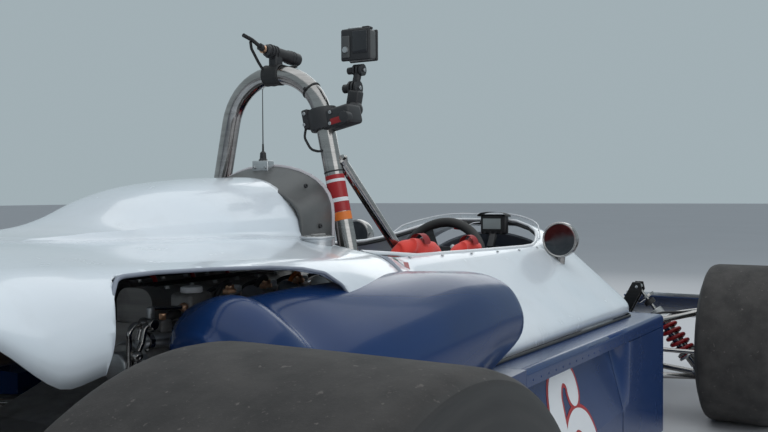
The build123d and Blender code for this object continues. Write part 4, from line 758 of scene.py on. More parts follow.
def makeHipDucts():
    rows = [ductRow(duct["front"], shift, shrink) for shift, shrink in duct["mouth"]]
    rows += [ductRow(x) for x in spaced(duct["front"] - 3, duct["valley"], duct["step"])]
    rows += [ductRow(x) for x in spaced(duct["valley"], duct["rear"], duct["fine"])[1:]]
    last = rows[-1]
    middle = sum(last, Vector()) / len(last)
    rows += [[Vector((p.x - back, *p.lerp(middle, share).yz)) for p in last] for back, share in duct["tail"]]
    Piece("hipDuctSkins", "blue", "blue_paint", ["hip_ducts"]).rows(rows).twin().done(sharp=60)


# Cockpit surround with its rolled opening

surround = {
    "rows": [  # x, crown, rim y z, skirt top y z, foot y z
        (-455, 661, 307, 643, 458, 481, 457, 448),
        (-400, 649, 285, 639, 459, 475, 458, 446),
        (-345, 640, 266, 634, 460, 470, 460, 444),
        (150, 634, 270, 622, 460, 459, 460, 433),
        (420, 660, 268, 620, 460, 452, 460, 426),
        (575, 682, 260, 620, 460, 447, 460, 421),
        (660, 676, 253, 610, 448, 444, 448, 418),
        (692, 668, 246, 600, 425, 442, 425, 417),
        (705, 660, 236, 592, 392, 440, 392, 416),
    ],
    "opening": [(-470, 243), (-360, 246), (-250, 250), (60, 258), (300, 266), (370, 265), (430, 252), (500, 229),
                (548, 208), (585, 174), (615, 122), (634, 66), (639, 22)],
    "closing": [(639, -100), (-470, -100)],  # past the middle line
    "flat": 70, "wall": 4, "step": 20, "front": [697, 702, 705],
}


def surroundRow(x):
    crown, rimY, rimZ, topY, topZ, footY, footZ = along(surround["rows"], x)
    points = []
    for y in [(rimY - 22) * i / 20 for i in range(21)]:
        share = max(0, (y - surround["flat"]) / (rimY - surround["flat"]))
        points.append(Vector((x, y, crown - (crown - rimZ) * share ** 2)))
    return points[:-1] + rounded([points[-1], (x, rimY, rimZ), (x, topY, topZ), (x, footY, footZ)], (34, 26), 8)


def makeSurround():
    piece = Piece("surroundSkin", "white", "white_paint", ["cockpit_surround"])
    skin = drawRows(bmesh.new(), [surroundRow(x) for x in spaced(-455, 690, surround["step"]) + surround["front"]])
    piece.take(knife(skin, surround["opening"] + surround["closing"], (0, 1), lambda c: c.z > 500))
    piece.twin(merge=True).done(wall=surround["wall"])


def onSkin(row, y, lift):  # a point on a row of skin at a distance from the centre line
    for a, b in zip(row, row[1:]):
        if a.y <= y <= b.y and b.y > a.y:
            return a.lerp(b, (y - a.y) / (b.y - a.y)) + Vector((0, a.z - b.z, b.y - a.y)).normalized() * lift


def skinPoint(x, y, lift=0.0):  # on the surround, above a place seen from the top
    row = surroundRow(x)
    return onSkin(row, y, lift) or row[-1]


# Side panels, number, stripes and tape

side = {
    "edge": 530, "shelf": 33.5,
    "flange": (438, -345, 30 / 1070),  # top of the rolled flange, where it starts to fall and its slope
    "fade": [(-400, 488, 222), (300, 488, 222), (450, 488, 278), (712, 529.5, 374)],  # x, y under the flange, low z
}


def flangeTop(x):
    top, start, slope = side["flange"]
    return top - slope * max(0, x - start)


def tubSide(x, z):  # distance of the car's side from the centre line
    rows = side["fade"]
    for (x0, y0, low0), (x1, y1, low1) in zip(rows, rows[1:]):
        if x <= x1:
            share = max(0.0, (x - x0) / (x1 - x0))
            inner, low = y0 + (y1 - y0) * share, low0 + (low1 - low0) * share
            top = flangeTop(x) - side["shelf"]
            return side["edge"] - max(0, (side["edge"] - inner) * (min(z, top) - low) / (top - low))
    return side["edge"]


numeral = {  # centre line as x, z and width, on the car's right
    "stroke": [(-10, 330, 64), (-13, 350, 62), (-32, 370, 50), (-62, 377, 44), (-92, 366, 56), (-116, 340, 70),
               (-126, 300, 78), (-129, 250, 80), (-128, 195, 80), (-115, 150, 70), (-88, 121, 54), (-45, 108, 42),
               (0, 121, 54), (29, 150, 68), (40, 195, 78), (31, 238, 70), (6, 263, 54), (-30, 273, 42),
               (-64, 264, 36), (-86, 250, 26)],
    "layers": [(0, 9, 0.5), (1, 0, 1.0)],  # look, how far it grows and its lift
    "start": [0.999, 0.94, 0.8, 0.55, 0.28], "middle": -45, "rise": 0.0008,
}


def makeNumerals():
    piece = Piece("raceNumber", "red ivory", "white_paint")
    smooth = curved(numeral["stroke"], 6)
    for look, grow, lift in numeral["layers"]:
        arms = []
        for i, (x, z, width) in enumerate(smooth):
            ahead, behind = smooth[min(i + 1, len(smooth) - 1)], smooth[max(i - 1, 0)]
            run = Vector((ahead[0] - behind[0], ahead[1] - behind[1])).normalized()
            across = Vector((-run.y, run.x)) * (width / 2 + grow)
            for end in (numeral["start"] if i == 0 else []):  # the stroke's round start
                arms.append((Vector((x, z)) - run * (width / 2 + grow) * end, across * math.sqrt(1 - end * end), i))
            arms.append((Vector((x, z)), across, i))
        strip = []
        for middle, arm, i in arms:
            places = [middle + arm * (k / 4 - 1) for k in range(9)]
            strip.append([(p.x, -tubSide(p.x, p.y) - lift - i * numeral["rise"], p.y) for p in places])
        piece.rows(strip, look)
    other = piece.bm.copy()  # reads the right way round on the left side too
    middle = Matrix.Translation((2 * numeral["middle"] * mm, 0, 0))
    other.transform(middle @ Matrix.Diagonal((-1, -1, 1, 1)))
    pour(other, piece.bm)
    for face in piece.bm.faces:
        if face.normal.y * face.calc_center_median().y < 0:
            face.normal_flip()
    piece.done(sharp=60)


sticker = {"corners": [(-381, 270), (-332, 276), (-356, 294), (-407, 285)], "lift": 0.6}


def makeSticker():  # three plain stripes behind the cockpit
    piece = Piece("threeStripes", "green ivory red", "white_paint")
    a, b, c, d = [Vector(p) for p in sticker["corners"]]
    for look in range(3):
        rows = []
        for s in ((look + i / 4) / 3 for i in range(5)):
            top, low = a.lerp(b, s), d.lerp(c, s)
            rows.append([skinPoint(*top.lerp(low, k / 5), sticker["lift"]) for k in range(6)])
        piece.rows([[(p.x, -p.y, p.z) for p in row] for row in rows], look)
    piece.done()


tape = {"xs": (-466, -461, -455, -449, -443), "start": 246, "step": 3.5, "count": 56, "lift": 0.7}


def makeSeamTape():  # grey tape over the joint of surround and engine cover
    rows = []
    for x in tape["xs"]:
        source = coverRow(x, True) if x < -456 else surroundRow(x)
        found = [onSkin(source, tape["start"] + i * tape["step"], tape["lift"]) for i in range(60)]
        rows.append([p for p in found if p][:tape["count"]])
    count = min(len(row) for row in rows)
    Piece("seamTape", "seamGrey", "white_paint").rows([row[:count] for row in rows]).twin().done()


def makeTubTrim():
    piece = Piece("tubTrim", "black blue", "black_trim")
    stations = [(x, 462 - max(0, x - 640) * 0.9, flangeTop(x) + 2.5) for x in spaced(-440, 690, 36)]
    for a, b in zip(stations, stations[1:]):  # soft black strip under the surround's foot: a rubber seal, its black also a painted shadow of the gap there
        piece.rod(a, b, 3.5, 0, 8)
    rivets = [(x, 530, z) for x in spaced(-310, 690, 42) for z in (flangeTop(x) - 24, 88)]
    rivets += [(706, 530, z) for z in spaced(120, 330, 42)]
    rivets += [(x, 245, z) for x in spaced(860, 1360, 50) for z in (96, 150)]
    for place in rivets:  # along the flange's foot, the floor's edge and the foot box
        piece.rivet(place, (0, 1, 0), 1)
    piece.twin().done()


# Upright panel ahead of the leaning one, with a soft vertical crease between them
frontPanel = {"start": 300, "crease": 60, "stations": [400, 500, 600, 722], "lean": 42, "low": 222,
              "rise": 56 / 150, "flange": 35, "foot": 72, "skin": 530.8}


def makeFrontPanel():
    rows = []
    start, lean, foot = frontPanel["start"], frontPanel["lean"], frontPanel["foot"]
    for x in spaced(start, start + frontPanel["crease"], 5) + frontPanel["stations"]:
        high = flangeTop(x) - frontPanel["flange"]
        share = min(1, (x - start) / frontPanel["crease"])
        share = share * share * (3 - 2 * share)
        low = frontPanel["low"] + (x - start) * frontPanel["rise"]
        row = [(x, 526, foot - 0.5)]
        for z in (foot + (high - foot) * k / 24 for k in range(25)):
            leaning = lean * max(0, (z - frontPanel["low"]) / (high - frontPanel["low"])) * (1 - share)
            under = lean * max(0, (z - low) / (high - low)) if share < 1 else 0
            row.append((x, frontPanel["skin"] - min(leaning, under), z))
        rows.append(row)
    Piece("frontSidePanel", "blue", "blue_paint").rows(rows).twin().done()


def makeSkirts():  # narrow rubbing strips under the tub's sides
    piece = Piece("floorSkirts", "black machined", "black_trim").block((190, 522, 66), (1050, 6, 30), 0, 1)
    for x in spaced(-300, 680, 140):
        piece.capScrew((x, 525, 74), (0, 1, 0), 4, 1)
    piece.twin().done()


liner = {"section": [(-244, 240), (-244, 120), (-232, 93), (0, 93), (232, 93), (244, 120), (244, 240)],
         "ends": [(-324, 200, 430), (664, 395, 408)]}  # x, foot and top of the end walls


def makeLiner():  # dark inside of the cockpit
    piece = Piece("cockpitLiner", "liner machined", "black_trim")
    rows = []
    for x in spaced(-324, 664, 60):
        rim = flangeTop(x) - 1
        rows.append([(x, y, z) for y, z in [(-244, rim)] + liner["section"] + [(244, rim)]])
    piece.rows(rows)
    for x, low, top in liner["ends"]:
        piece.rows([[(x, -244, z), (x, 244, z)] for z in (low, top)])
    for x in spaced(-250, 600, 85):
        for y in (-243.4, 243.4):
            piece.rivet((x, y, flangeTop(x) - 16), (0, -y, 0), 1, flat=1.8, radius=3)
    piece.done(wall=0.6, side=0.0)


# Roll hoop, its stays, labels and what is clamped to it

hoop = {
    "x": -397, "footY": 223.65, "footZ": 438.6, "shoulderY": 100, "top": 1007, "bend": 118, "radius": 19,
    "stay": ((-397, 150, 842), (-88, 265, 431)), "stayRadius": 11, "weld": [(11, 0), (15.5, 3), (13.5, 8), (11, 14)],
}


def legPoint(z):  # middle of the right leg at a height
    share = (z - hoop["footZ"]) / (hoop["top"] - hoop["footZ"])
    return Vector((hoop["x"], -hoop["footY"] - (hoop["shoulderY"] - hoop["footY"]) * share, z))


def makeHoop():
    piece = Piece("hoopTubes", "chrome castAlloy", "bright_tube", ["roll_hoop"])
    half = [(hoop["footY"], hoop["footZ"]), (hoop["shoulderY"], hoop["top"])]
    path = [(hoop["x"], -y, z) for y, z in half] + [(hoop["x"], y, z) for y, z in reversed(half)]
    piece.pipe(path, hoop["radius"], hoop["bend"], sides=14)
    for sign in (-1, 1):
        high, foot = (Vector((x, sign * y, z)) for x, y, z in hoop["stay"])
        run = (foot - high).normalized()
        piece.rod(high + run * 12, foot, hoop["stayRadius"], sides=32)
        piece.lathe(hoop["weld"], high + run * 14, run, steps=28)
        piece.start(*foot).block((0, 0, 3), (60, 34, 6), 1, 2)
        for x in (-20, 21):
            piece.bolt((x, 0, 6), (0, 0, 1), 5, 1)
        piece.start()
    piece.done()


labels = {
    # low, high, look and how proud the band stands
    "bands": [(708, 724.5, 1, 0), (725, 799, 0, 0), (744, 752, 2, 0.2), (783, 789, 2, 0.2), (803, 806, 3, 0.3)],
    "proud": 0.35, "tie": 46,  # the cable tie's place on the bend, in degrees
}


def makeHoopLabels():
    piece = Piece("hoopLabels", "red orange ivory tape", "spring_red")
    for low, high, look, proud in labels["bands"]:
        r, h = hoop["radius"] + labels["proud"] + proud, high - low
        piece.lathe([(r - 0.3, 0), (r, 0.2), (r, h - 0.2), (r - 0.3, h)], legPoint(low), legPoint(900) - legPoint(500),
                    look, 48)
    tie, bend = math.radians(labels["tie"]), hoop["bend"]
    run = Vector((0, -math.cos(tie), -math.sin(tie)))
    piece.start(hoop["x"], -5 - bend * math.sin(tie), hoop["top"] - bend * (1 - math.cos(tie)))
    piece.lathe([(18.8, 0), (20.5, 0), (20.5, 3.5), (18.8, 3.5)], (0, 0, 0), run, 3, 40)
    piece.block((-21, 0, 0), (6, 7, 5), 3, 1, facing(run)).done()


rig = {  # action camera: clamp on the hoop's leg, arm with two hinges, camera in its case
    "clamp": [(19.3, -22), (29, -21), (31.5, -14)], "clampZ": 910,
    "jaws": [((2, -40, 2), (50, 70, 38), 0, 7), ((-4, 30, 0), (38, 16, 40), 0, 4),
             ((-24.5, -52, -4), (2, 40, 12), 4, 0.8)],
    "cord": [(-10, 36, -10), (-20, 34, -36), (-18, 20, -60), (-20, -4, -66), (-10, -22, -56)],
    "arm": [(-362, -172, 930), (-352, -166, 974), (-348, -174, 1014)],
    "body": (-346, -174, 1060),
    "case": [((0, 0, 0), (30, 64, 60), 3, 6), ((-14.5, 0, 0), (6, 68, 64), 0, 4), ((-17.8, -12, 4), (3, 34, 44), 2, 1),
             ((-18.2, 21, -4), (4, 18, 44), 3, 2), ((16, 0, 0), (6, 67, 63), 0, 3), ((0, 6, 32.5), (24, 30, 6), 5, 1.5),
             ((-2, -20, 33), (18, 16, 5), 0, 1.5), ((0, -26, -2), (34, 2.5, 52), 5, 0.8),
             ((0, 26, -2), (34, 2.5, 52), 5, 0.8)],
    "lens": [(0, 12), (9, 12), (10.5, 11), (12.5, 10), (13, 0), (16, -4)],
}


def makeActionCamera():
    piece = Piece("actionCameraRig", "black tape lens greyShell red machined", "black_trim", ["action_camera"])
    axis = legPoint(930) - legPoint(860)
    piece.start(*legPoint(rig["clampZ"])).lathe(bothWays(rig["clamp"]), (0, 0, 0), axis, 0, 40)
    for values in rig["jaws"]:
        piece.block(*values, facing(axis))
    for y in (31, -31):
        for z in (-11, 11):
            piece.capScrew((-23, y, z), (-1, 0, 0), 3.4, 5)
    piece.rod((-18, -70, 0), (-36, -70, 0), 11, 0, 12, 1.5).pipe(rig["cord"], 2.6, 20, 1, 2)
    low, mid, high = map(Vector, rig["arm"])
    piece.start().ball(low, 16.5, 0, 28).rod(low, mid, 9.5, 0, 24, 1).rod(mid, high, 8, 0, 24, 1)
    piece.block((low + mid) / 2, (24, 26, 34), 0, 5, Matrix.Rotation(0.2, 4, "X"))
    for joint, wide in ((mid, 15), (high - Vector((0, 0, 4)), 12)):
        piece.start(*joint)
        for y in (-8, 0, 8):  # interleaved fingers of a hinge
            piece.rod((0, y - 2.2, 0), (0, y + 2.2, 0), wide, 0, 24)
        piece.rod((0, 12, 0), (0, 26, 0), wide * 0.62, 0, 10, 1).capScrew((0, -10.5, 0), (0, -1, 0), 4, 5)
    piece.start(*rig["body"])
    for values in rig["case"]:
        piece.block(*values)
    piece.lathe([(0, 3), (6, 3), (7, 0)], (-20, 21, -10), (-1, 0, 0), 5, 24)
    piece.lathe(rig["lens"], (18, -14, 10), (1, 0, 0), 2, 32).rod((0, 33, 12), (0, 36.5, 12), 6, 5, 24, 0.8).done()


bullet = {
    "back": (-425, 4, 1056), "front": (-330, -8, 1046), "ribs": (10, 18, 26, 70, 78),
    "barrel": [(0, 0), (9, 0), (12.5, 4), (12.5, 60), (14, 63), (14, 94), (12, 97), (10.5, 90), (0, 88)],
    "wrap": [(19.4, -20), (22.2, -18), (21.5, -6), (22.6, 4), (21.4, 12), (22.2, 20), (19.4, 22)],  # turns of tape
    "leads": [([(-462, 12, 1068), (-452, 18, 1056), (-425, 22, 1032), (-406, 20, 1012)], 3, 20, 3),
              ([(-397, 16, 1026), (-392, 30, 1020), (-388, 40, 1004), (-392, 48, 986)], 2.8, 10, 2),
              ([(-390, -14, 1026), (-386, -26, 1022), (-382, -44, 1024)], 3, 10, 2)],
}


def makeBulletCamera():
    piece = Piece("bulletCameraRig", "black tape lens brass", "black_trim", ["bullet_camera"])
    back = Vector(bullet["back"])
    run = (Vector(bullet["front"]) - back).normalized()
    piece.start(*back).lathe(bullet["barrel"], (0, 0, 0), run, 0, 36).rod(run * 88.5, run * 91.5, 10.2, 2, 28)
    for step in bullet["ribs"]:
        piece.lathe([(12.4, 0), (14.6, 0.6), (14.6, 3), (12.4, 3.6)], run * step, run, 0, 36)
    piece.rod((0, 0, 0), Vector((0, 0, 3)) - run * 16, 7.5, 0, 16).rod(run * -4, run * -9, 8.5, 3, 20).start()
    for path, radius, bend, sides in bullet["leads"]:
        piece.pipe(path, radius, bend, 1, sides)
    piece.pipe([back - run * 14 + Vector((0, 0, 3)), back - run * 34 + Vector((0, 2, 12)), (-486, 10, 1077)],
               4, 20, 1, 3)
    piece.block((hoop["x"] + 1, 0, 1036), (24, 20, 26), 0, 3)
    piece.lathe(bullet["wrap"], (hoop["x"], 2, hoop["top"]), (0, 1, 0), 1, 36).done()


def makeAerial():
    piece = Piece("whipAerial", "black machined", "black_trim", ["antenna"]).start(-440, 0, 815)
    piece.block((0, 0, 0), (22, 40, 28), 1, 2)
    for y in (-14, 14):
        piece.capScrew((-11, y, 0), (-1, 0, 0), 3, 1)
    foot = [(0, 34), (1.8, 34), (2.2, 20), (6, 16), (7, 4), (9, 2), (9, 0)]
    piece.lathe(foot, (0, 0, 14), (0, 0, 1), 0, 24)
    piece.rod((0, 0, 45), (0, 0, 159), 1.2, 0, 10, tip=0.8).ball((0, 0, 160), 2.2, 1, 12).done()


# Headrest and filler cap

headrest = {
    "rows": [  # x, half width, low, shoulder, crown
        (-538, 168, 628, 706, 784), (-505, 169, 627, 712, 792), (-470, 165, 626, 720, 803), (-440, 160, 626, 727, 813),
        (-422, 157, 626, 730, 819),
    ],
    "wall": 5, "step": 8, "screws": [(-150, 700), (150, 700), (-120, 776), (120, 776)],
    "pad": [(-432, 0), (-424, 1.5), (-415, 4), (-407, 9), (-402, 18), (-399, 32), (-398, 55)],  # x, how far inwards
}


def archRow(x, halfWidth, low, shoulder, crown, count=18):
    points = [(x, -halfWidth, low), (x, -halfWidth, shoulder - 24)]
    for angle in (math.pi * i / count for i in range(count + 1)):
        rise = (crown - shoulder + 8) * math.sin(angle) ** 0.86
        points.append((x, -halfWidth * math.cos(angle), shoulder - 8 + rise))
    return points + [(x, halfWidth, shoulder - 24), (x, halfWidth, low)]


def makeHeadrest():
    rows = [archRow(x, *along(headrest["rows"], x)) for x in spaced(-538, -422, headrest["step"])]
    Piece("headrestShell", "greyShell", "grey_shell", ["headrest"]).rows(rows).done(wall=headrest["wall"], sharp=70)


def makeHeadrestTrim():
    piece = Piece("headrestEdge", "paleEdge black", "grey_shell")
    half, low, shoulder, crown = headrest["rows"][-1][1:]
    # rolled front edge in the pale finish, a painted highlight along the shell's edge
    piece.pipe(archRow(-420, half - 2, low + 4, shoulder, crown - 2), 5.5, 30)
    for y, z in headrest["screws"]:
        piece.capScrew((-480, y * 1.112, z), (0, y, 30), 4.5, 1)
    piece.done()


def makeHeadPad():  # the padded bulkhead in front of the shell
    rows = [archRow(x, 148 - s, 640 + s * 0.7, 728 - s * 0.3, 808 - s, 22) for x, s in headrest["pad"]]
    Piece("headPad", "seatCloth", "seat_cloth").rows(rows, close=True).done(sharp=80, levels=1, fill=0.7)


cap = {"place": (-562, -219, 661), "radius": 32,
       "lid": [(0, 22), (0.55, 22.5), (0.60, 23.8), (0.90, 24.2), (0.97, 25), (1, 23.8), (0.985, 21.2), (0.90, 20),
               (0.86, 16), (0.86, 2), (1.05, 0), (1.10, -4), (1.10, -20)]}  # shares of the radius, and heights


def makeFillerCap():
    piece = Piece("fuelCap", "machined castAlloy", "machined_alloy", ["filler_cap"]).start(*cap["place"])
    piece.lathe([(share * cap["radius"], h) for share, h in cap["lid"]], (0, 0, 0), (0, 0, 1), 0, 72)
    for x, y in circle(8, cap["radius"] * 0.74, 20):
        piece.capScrew((x, y, 23.6), (0, 0, 1), 2.4, 1)
    piece.block((4, 0, 26.2), (34, 10, 5), 1, 1.5).rod((24, -12, 22), (24, 12, 22), 3.5, 1, 16)
    for y in (-10, 10):
        piece.block((26, y, 14), (10, 4, 18), 1, 1)
    piece.done()


# Cockpit: coaming, screen, seat, harness, steering wheel, instruments

coaming = {"radius": 4.2, "liner": 5,
           "screws": [(-300, 249), (-160, 252), (-20, 256), (120, 260), (250, 264), (380, 263)]}


def makeCoaming():
    piece = Piece("cockpitCoaming", "ivory black machined", "white_paint")
    near = [skinPoint(x, y, 0.5) for x, y in [(-452, 243)] + surround["opening"][2:]]
    path = near + [Vector((p.x, -p.y, p.z)) for p in reversed(near)]
    piece.pipe(path, coaming["radius"], 40)
    piece.pipe([(p.x, p.y * 1.012, p.z - 10) for p in path], coaming["liner"], 40, 1, 3)
    for x, y in coaming["screws"]:
        p = skinPoint(x, y + 13, 0.2)
        for sign in (1, -1):
            piece.capScrew((p.x, p.y * sign, p.z), (0, 0.12 * sign, 1), 3.2, 2)
    piece.done(sharp=60)


screen = {
    "heights": [(480, 14), (520, 20), (560, 22), (600, 19), (640, 18)],  # x, height over the skin
    "foot": [(478, 240), (500, 232), (524, 222), (548, 211), (568, 196), (586, 178), (601, 154), (616, 126),
             (628, 95), (636, 66), (641, 34), (643, 0)],
}


def makeScreen():
    piece = Piece("screenSheet", "screen ivory machined", "clear_screen", ["windscreen"])
    half = []
    for x, y in screen["foot"]:
        foot = skinPoint(x + 5, y + 6) + Vector((0, 0, 1))
        height = along(screen["heights"], x)[0] * min(1, max(0.15, (x - 470) / 50))
        half.append((foot, foot + Vector((-0.15, -0.10, 1)) * height))
    mirror = Matrix.Diagonal((1, -1, 1))
    whole = half[:-1] + [(mirror @ a, mirror @ b) for a, b in reversed(half)]
    piece.rows([[a, a.lerp(b, 0.5), b] for a, b in whole])
    # ivory bead along the screen's top edge: the edge itself, with its glint painted in
    piece.pipe([b for a, b in whole], 1.6, 30, 1, 3)
    for a, b in whole[1:-1:2]:
        piece.capScrew(a.lerp(b, 0.3) + Vector((-1, 0, 0)), (-1, 0, 0.1), 2.2, 2)
    piece.done(sharp=70)


seatShape = {
    "rows": [  # along the seat's middle: x, z, half width, height of the sides
        (-292, 596, 150, 4), (-286, 560, 172, 12), (-262, 480, 186, 40), (-216, 380, 190, 74), (-160, 270, 190, 96),
        (-108, 190, 190, 106), (-60, 146, 188, 104), (0, 128, 186, 90), (90, 130, 184, 72), (180, 142, 182, 62),
        (250, 158, 178, 52), (286, 186, 172, 26)],
    "sides": 0.62, "hollow": 5, "quilting": 1.4, "above": 14, "wall": 8,
}


def makeSeatShell():
    rows = []
    for a, b in zip(seatShape["rows"], seatShape["rows"][1:]):
        rows += [tuple(p + (q - p) * k / 4 for p, q in zip(a, b)) for k in range(4)]
    rows.append(seatShape["rows"][-1])
    strips = []
    for i, (x, z, half, height) in enumerate(rows):
        ahead, behind = rows[min(i + 1, len(rows) - 1)], rows[max(i - 1, 0)]
        run = Vector((ahead[0] - behind[0], 0, ahead[1] - behind[1])).normalized()
        up = Vector((-run.z, 0, run.x))
        if up.z < 0 or (abs(up.z) < 0.3 and up.x < 0):
            up = -up
        strip = []
        for s in (k / 12 - 1 for k in range(25)):
            lift = height * max(0, (abs(s) - seatShape["sides"]) / (1 - seatShape["sides"])) ** 1.7
            lift += seatShape["quilting"] * math.cos(s * 21) - seatShape["hollow"] * (1 - s * s) + seatShape["above"]
            strip.append(Vector((x, s * half, z)) + up * lift)
        strips.append(strip)
    Piece("seatShell", "seatCloth", "seat_cloth", ["seat"]).rows(strips).done(seatShape["wall"], sharp=70, levels=1,
                                                                               fill=0.5)


harness = {  # right half: path, width, thickness and the way the webbing lies across
    "straps": [
        ([(-312, 95, 600), (-286, 94, 604), (-262, 92, 560), (-232, 84, 470), (-190, 66, 380), (-140, 44, 300),
          (-96, 22, 240)], 48, 2.2, (0, 1, 0)),
        ([(-268, 93, 566), (-236, 85, 482), (-205, 74, 412)], 70, 8, (0, 1, 0)),
        ([(-130, 176, 168), (-110, 160, 200), (-92, 110, 222), (-78, 50, 226), (-74, 18, 222)], 50, 2.2, (0.5, 0, 0.8)),
    ],
    "crotch": [(-70, 0, 214), (-20, 0, 152), (40, 0, 142)],
    "buckle": [(0, 16), (20, 15), (26, 10), (30, 0)],
}


def strap(piece, points, width, thick, across):  # webbing along a smooth path
    smooth = [Vector(p) for p in curved(points, 7)]
    rows, half = [], width / 2
    for i, p in enumerate(smooth):
        run = (smooth[min(i + 1, len(smooth) - 1)] - smooth[max(i - 1, 0)]).normalized()
        arm = Vector(across)
        arm = (arm - run * arm.dot(run)).normalized()
        up, arm = run.cross(arm) * thick, arm * half
        rows.append([p - arm - up, p - arm * 0.9 + up * 0.6, p + up,
                     p + arm * 0.9 + up * 0.6, p + arm - up, p - up * 1.6])
    piece.rows(rows, 0, close=True)


def makeHarness():
    piece = Piece("harness", "redWeb machined black", "spring_red")
    for sign in (1, -1):
        for path, *values in harness["straps"]:
            strap(piece, [(x, y * sign, z) for x, y, z in path], *values)
        piece.block((-205, 74 * sign, 420), (12, 58, 30), 1, 3, Matrix.Rotation(0.9, 4, "Y"))
    strap(piece, harness["crotch"], 44, 2.2, (0, 1, 0))
    piece.lathe(harness["buckle"], (-84, 0, 222), (0.6, 0, 0.8), 1, 32)
    piece.rod((-78, 0, 228), (-66, 0, 244), 12, 2, 20).done(sharp=50)


drape = {  # red shoulder pads laid over the cockpit's right side: x, y, z, width
    "pads": [[(-300, -212, 628, 30), (-276, -222, 652, 44), (-240, -230, 660, 50), (-190, -232, 655, 52),
              (-140, -228, 648, 50), (-100, -222, 632, 44), (-70, -214, 604, 34)],
             [(-52, -214, 600, 30), (-30, -222, 622, 40), (10, -228, 640, 48), (60, -230, 646, 50),
              (100, -226, 634, 46), (140, -220, 610, 36), (166, -214, 582, 26)]],
    "steps": 6, "sides": 15, "folds": (0.10, 0.06), "bands": [(-215, 676), (30, 662)],
}


def makeDrape():
    piece = Piece("harnessPads", "redWeb redDark", "spring_red")
    big, small = drape["folds"]
    for points in drape["pads"]:
        rows = []
        for i in range((len(points) - 1) * drape["steps"] + 1):
            k = min(i // drape["steps"], len(points) - 2)
            t = i / drape["steps"] - k
            t = t * t * (3 - 2 * t)
            x, y, z, wide = (a + (b - a) * t for a, b in zip(points[k], points[k + 1]))
            row = []
            for a in (2 * math.pi * j / drape["sides"] for j in range(drape["sides"])):
                fold = 1 + big * math.sin(3 * a + i * 0.55) + small * math.sin(i * 1.3 + 2 * a)
                row.append((x + 3 * math.sin(a * 2 + i), y + math.cos(a) * wide * 0.36 * fold,
                            z - 12 + math.sin(a) * wide * 0.40 * fold))
            rows.append(row)
        piece.rows(rows, 0, close=True)
    for x, z in drape["bands"]:
        arc = [math.pi * (0.02 + 0.96 * j / 10) for j in range(11)]
        piece.rows([[(x + i * 9, -232 + math.cos(a) * 20, z - 24 + math.sin(a) * 24) for a in arc]
                    for i in range(4)], 1)
    piece.done(sharp=75, levels=1, fill=0.6)


wheel = {
    "centre": (345, 0, 560), "axis": (753, 0, -310), "pinion": (1098, 0, 250), "rim": 128, "grip": (13.5, 12.5),
    "spoke": [(28, -21), (60, -14), (110, -15), (122, -20)], "holes": (62, 80, 98),
    "boss": [(0, -16), (22, -15), (30, -11), (36, -6), (38, 4), (30, 10), (28, 40), (16, 52), (9, 56)],
    "joint": [(9, -24), (15, -22), (17, -8), (12, 0)], "joints": (300, 520),
}


def makeSteeringWheel():
    piece = Piece("steeringWheelTrim", "grip blackSteel machined red", "black_trim", ["steering_wheel"], "steering")
    axis = Vector(wheel["axis"]).normalized()
    flat = Matrix.Translation(wheel["centre"]) @ facing(axis) @ Matrix.Rotation(math.pi / 2, 4, "Z")
    rim = bmesh.new()
    wide, high = wheel["grip"]
    ring = [rim.verts.new((wheel["rim"] + wide * c * (1.06 if c < 0 else 1), 0, high * s)) for c, s in circle(16, 1)]
    loops = [rim.edges.new(pair) for pair in zip(ring, ring[1:] + ring[:1])]
    bmesh.ops.spin(rim, geom=ring + loops, cent=(0, 0, 0), axis=(0, 0, 1), angle=2 * math.pi, steps=96, use_merge=True)
    piece.take(rim, 0, flat)
    outline = wheel["spoke"] + [(x, -y) for x, y in reversed(wheel["spoke"])]
    for angle in (90, 210, 330):
        turn = flat @ Matrix.Rotation(math.radians(angle), 4, "Z")
        piece.plate(outline, 3.6, 1, turn @ Matrix.Translation((0, 0, -1.8)))
        for x in wheel["holes"]:
            piece.take(dish(x, 5.2, 2.4), 2, turn)
    piece.start(*wheel["centre"]).lathe(wheel["boss"], (0, 0, 0), axis, 1, 48)
    turn = flat.to_3x3()
    for x, y in circle(6, 27):
        piece.capScrew(turn @ Vector((x, y, -11)), -axis, 3.4, 2)
    for angle, look in ((2.5, 3), (0.64, 2)):  # buttons
        spot = turn @ Vector((62 * math.cos(angle), 62 * math.sin(angle), -6))
        piece.rod(spot, spot - axis * 10, 6.5, look, 20, 1)
    piece.rod(axis * 50, Vector(wheel["pinion"]) - piece.origin, 9, 2, 24)
    for step in wheel["joints"]:
        piece.lathe(bothWays(wheel["joint"]), axis * step, axis, 1, 24)
    piece.done(sharp=45)


def dish(x, radius, height):  # the rolled edge of a hole
    part = bmesh.new()
    bmesh.ops.create_circle(part, segments=20, radius=radius)
    grown = bmesh.ops.extrude_edge_only(part, edges=part.edges[:])["geom"]
    bmesh.ops.scale(part, vec=(0.72, 0.72, 1), verts=vertsOf(grown))
    bmesh.ops.translate(part, vec=(0, 0, height), verts=vertsOf(grown))
    bmesh.ops.translate(part, vec=(x, 0, 0), verts=part.verts)
    return part


dash = {
    "x": 559.4, "outline": [(244, 394), (244, 500), (240, 540), (222, 572), (190, 592), (140, 597)],
    "dials": [(-128, 508, 34), (-62, 536, 40), (42, 540, 52), (128, 508, 34)],
    "switches": [(-190, 470), (-160, 452), (-95, 466), (-60, 462), (100, 462), (150, 452), (186, 470)],
    "screws": [(-225, 410), (225, 410), (-232, 520), (232, 520), (-120, 588), (120, 588)],
    "lights": [(-20, 3), (0, 4), (22, 3)],  # y, look
}


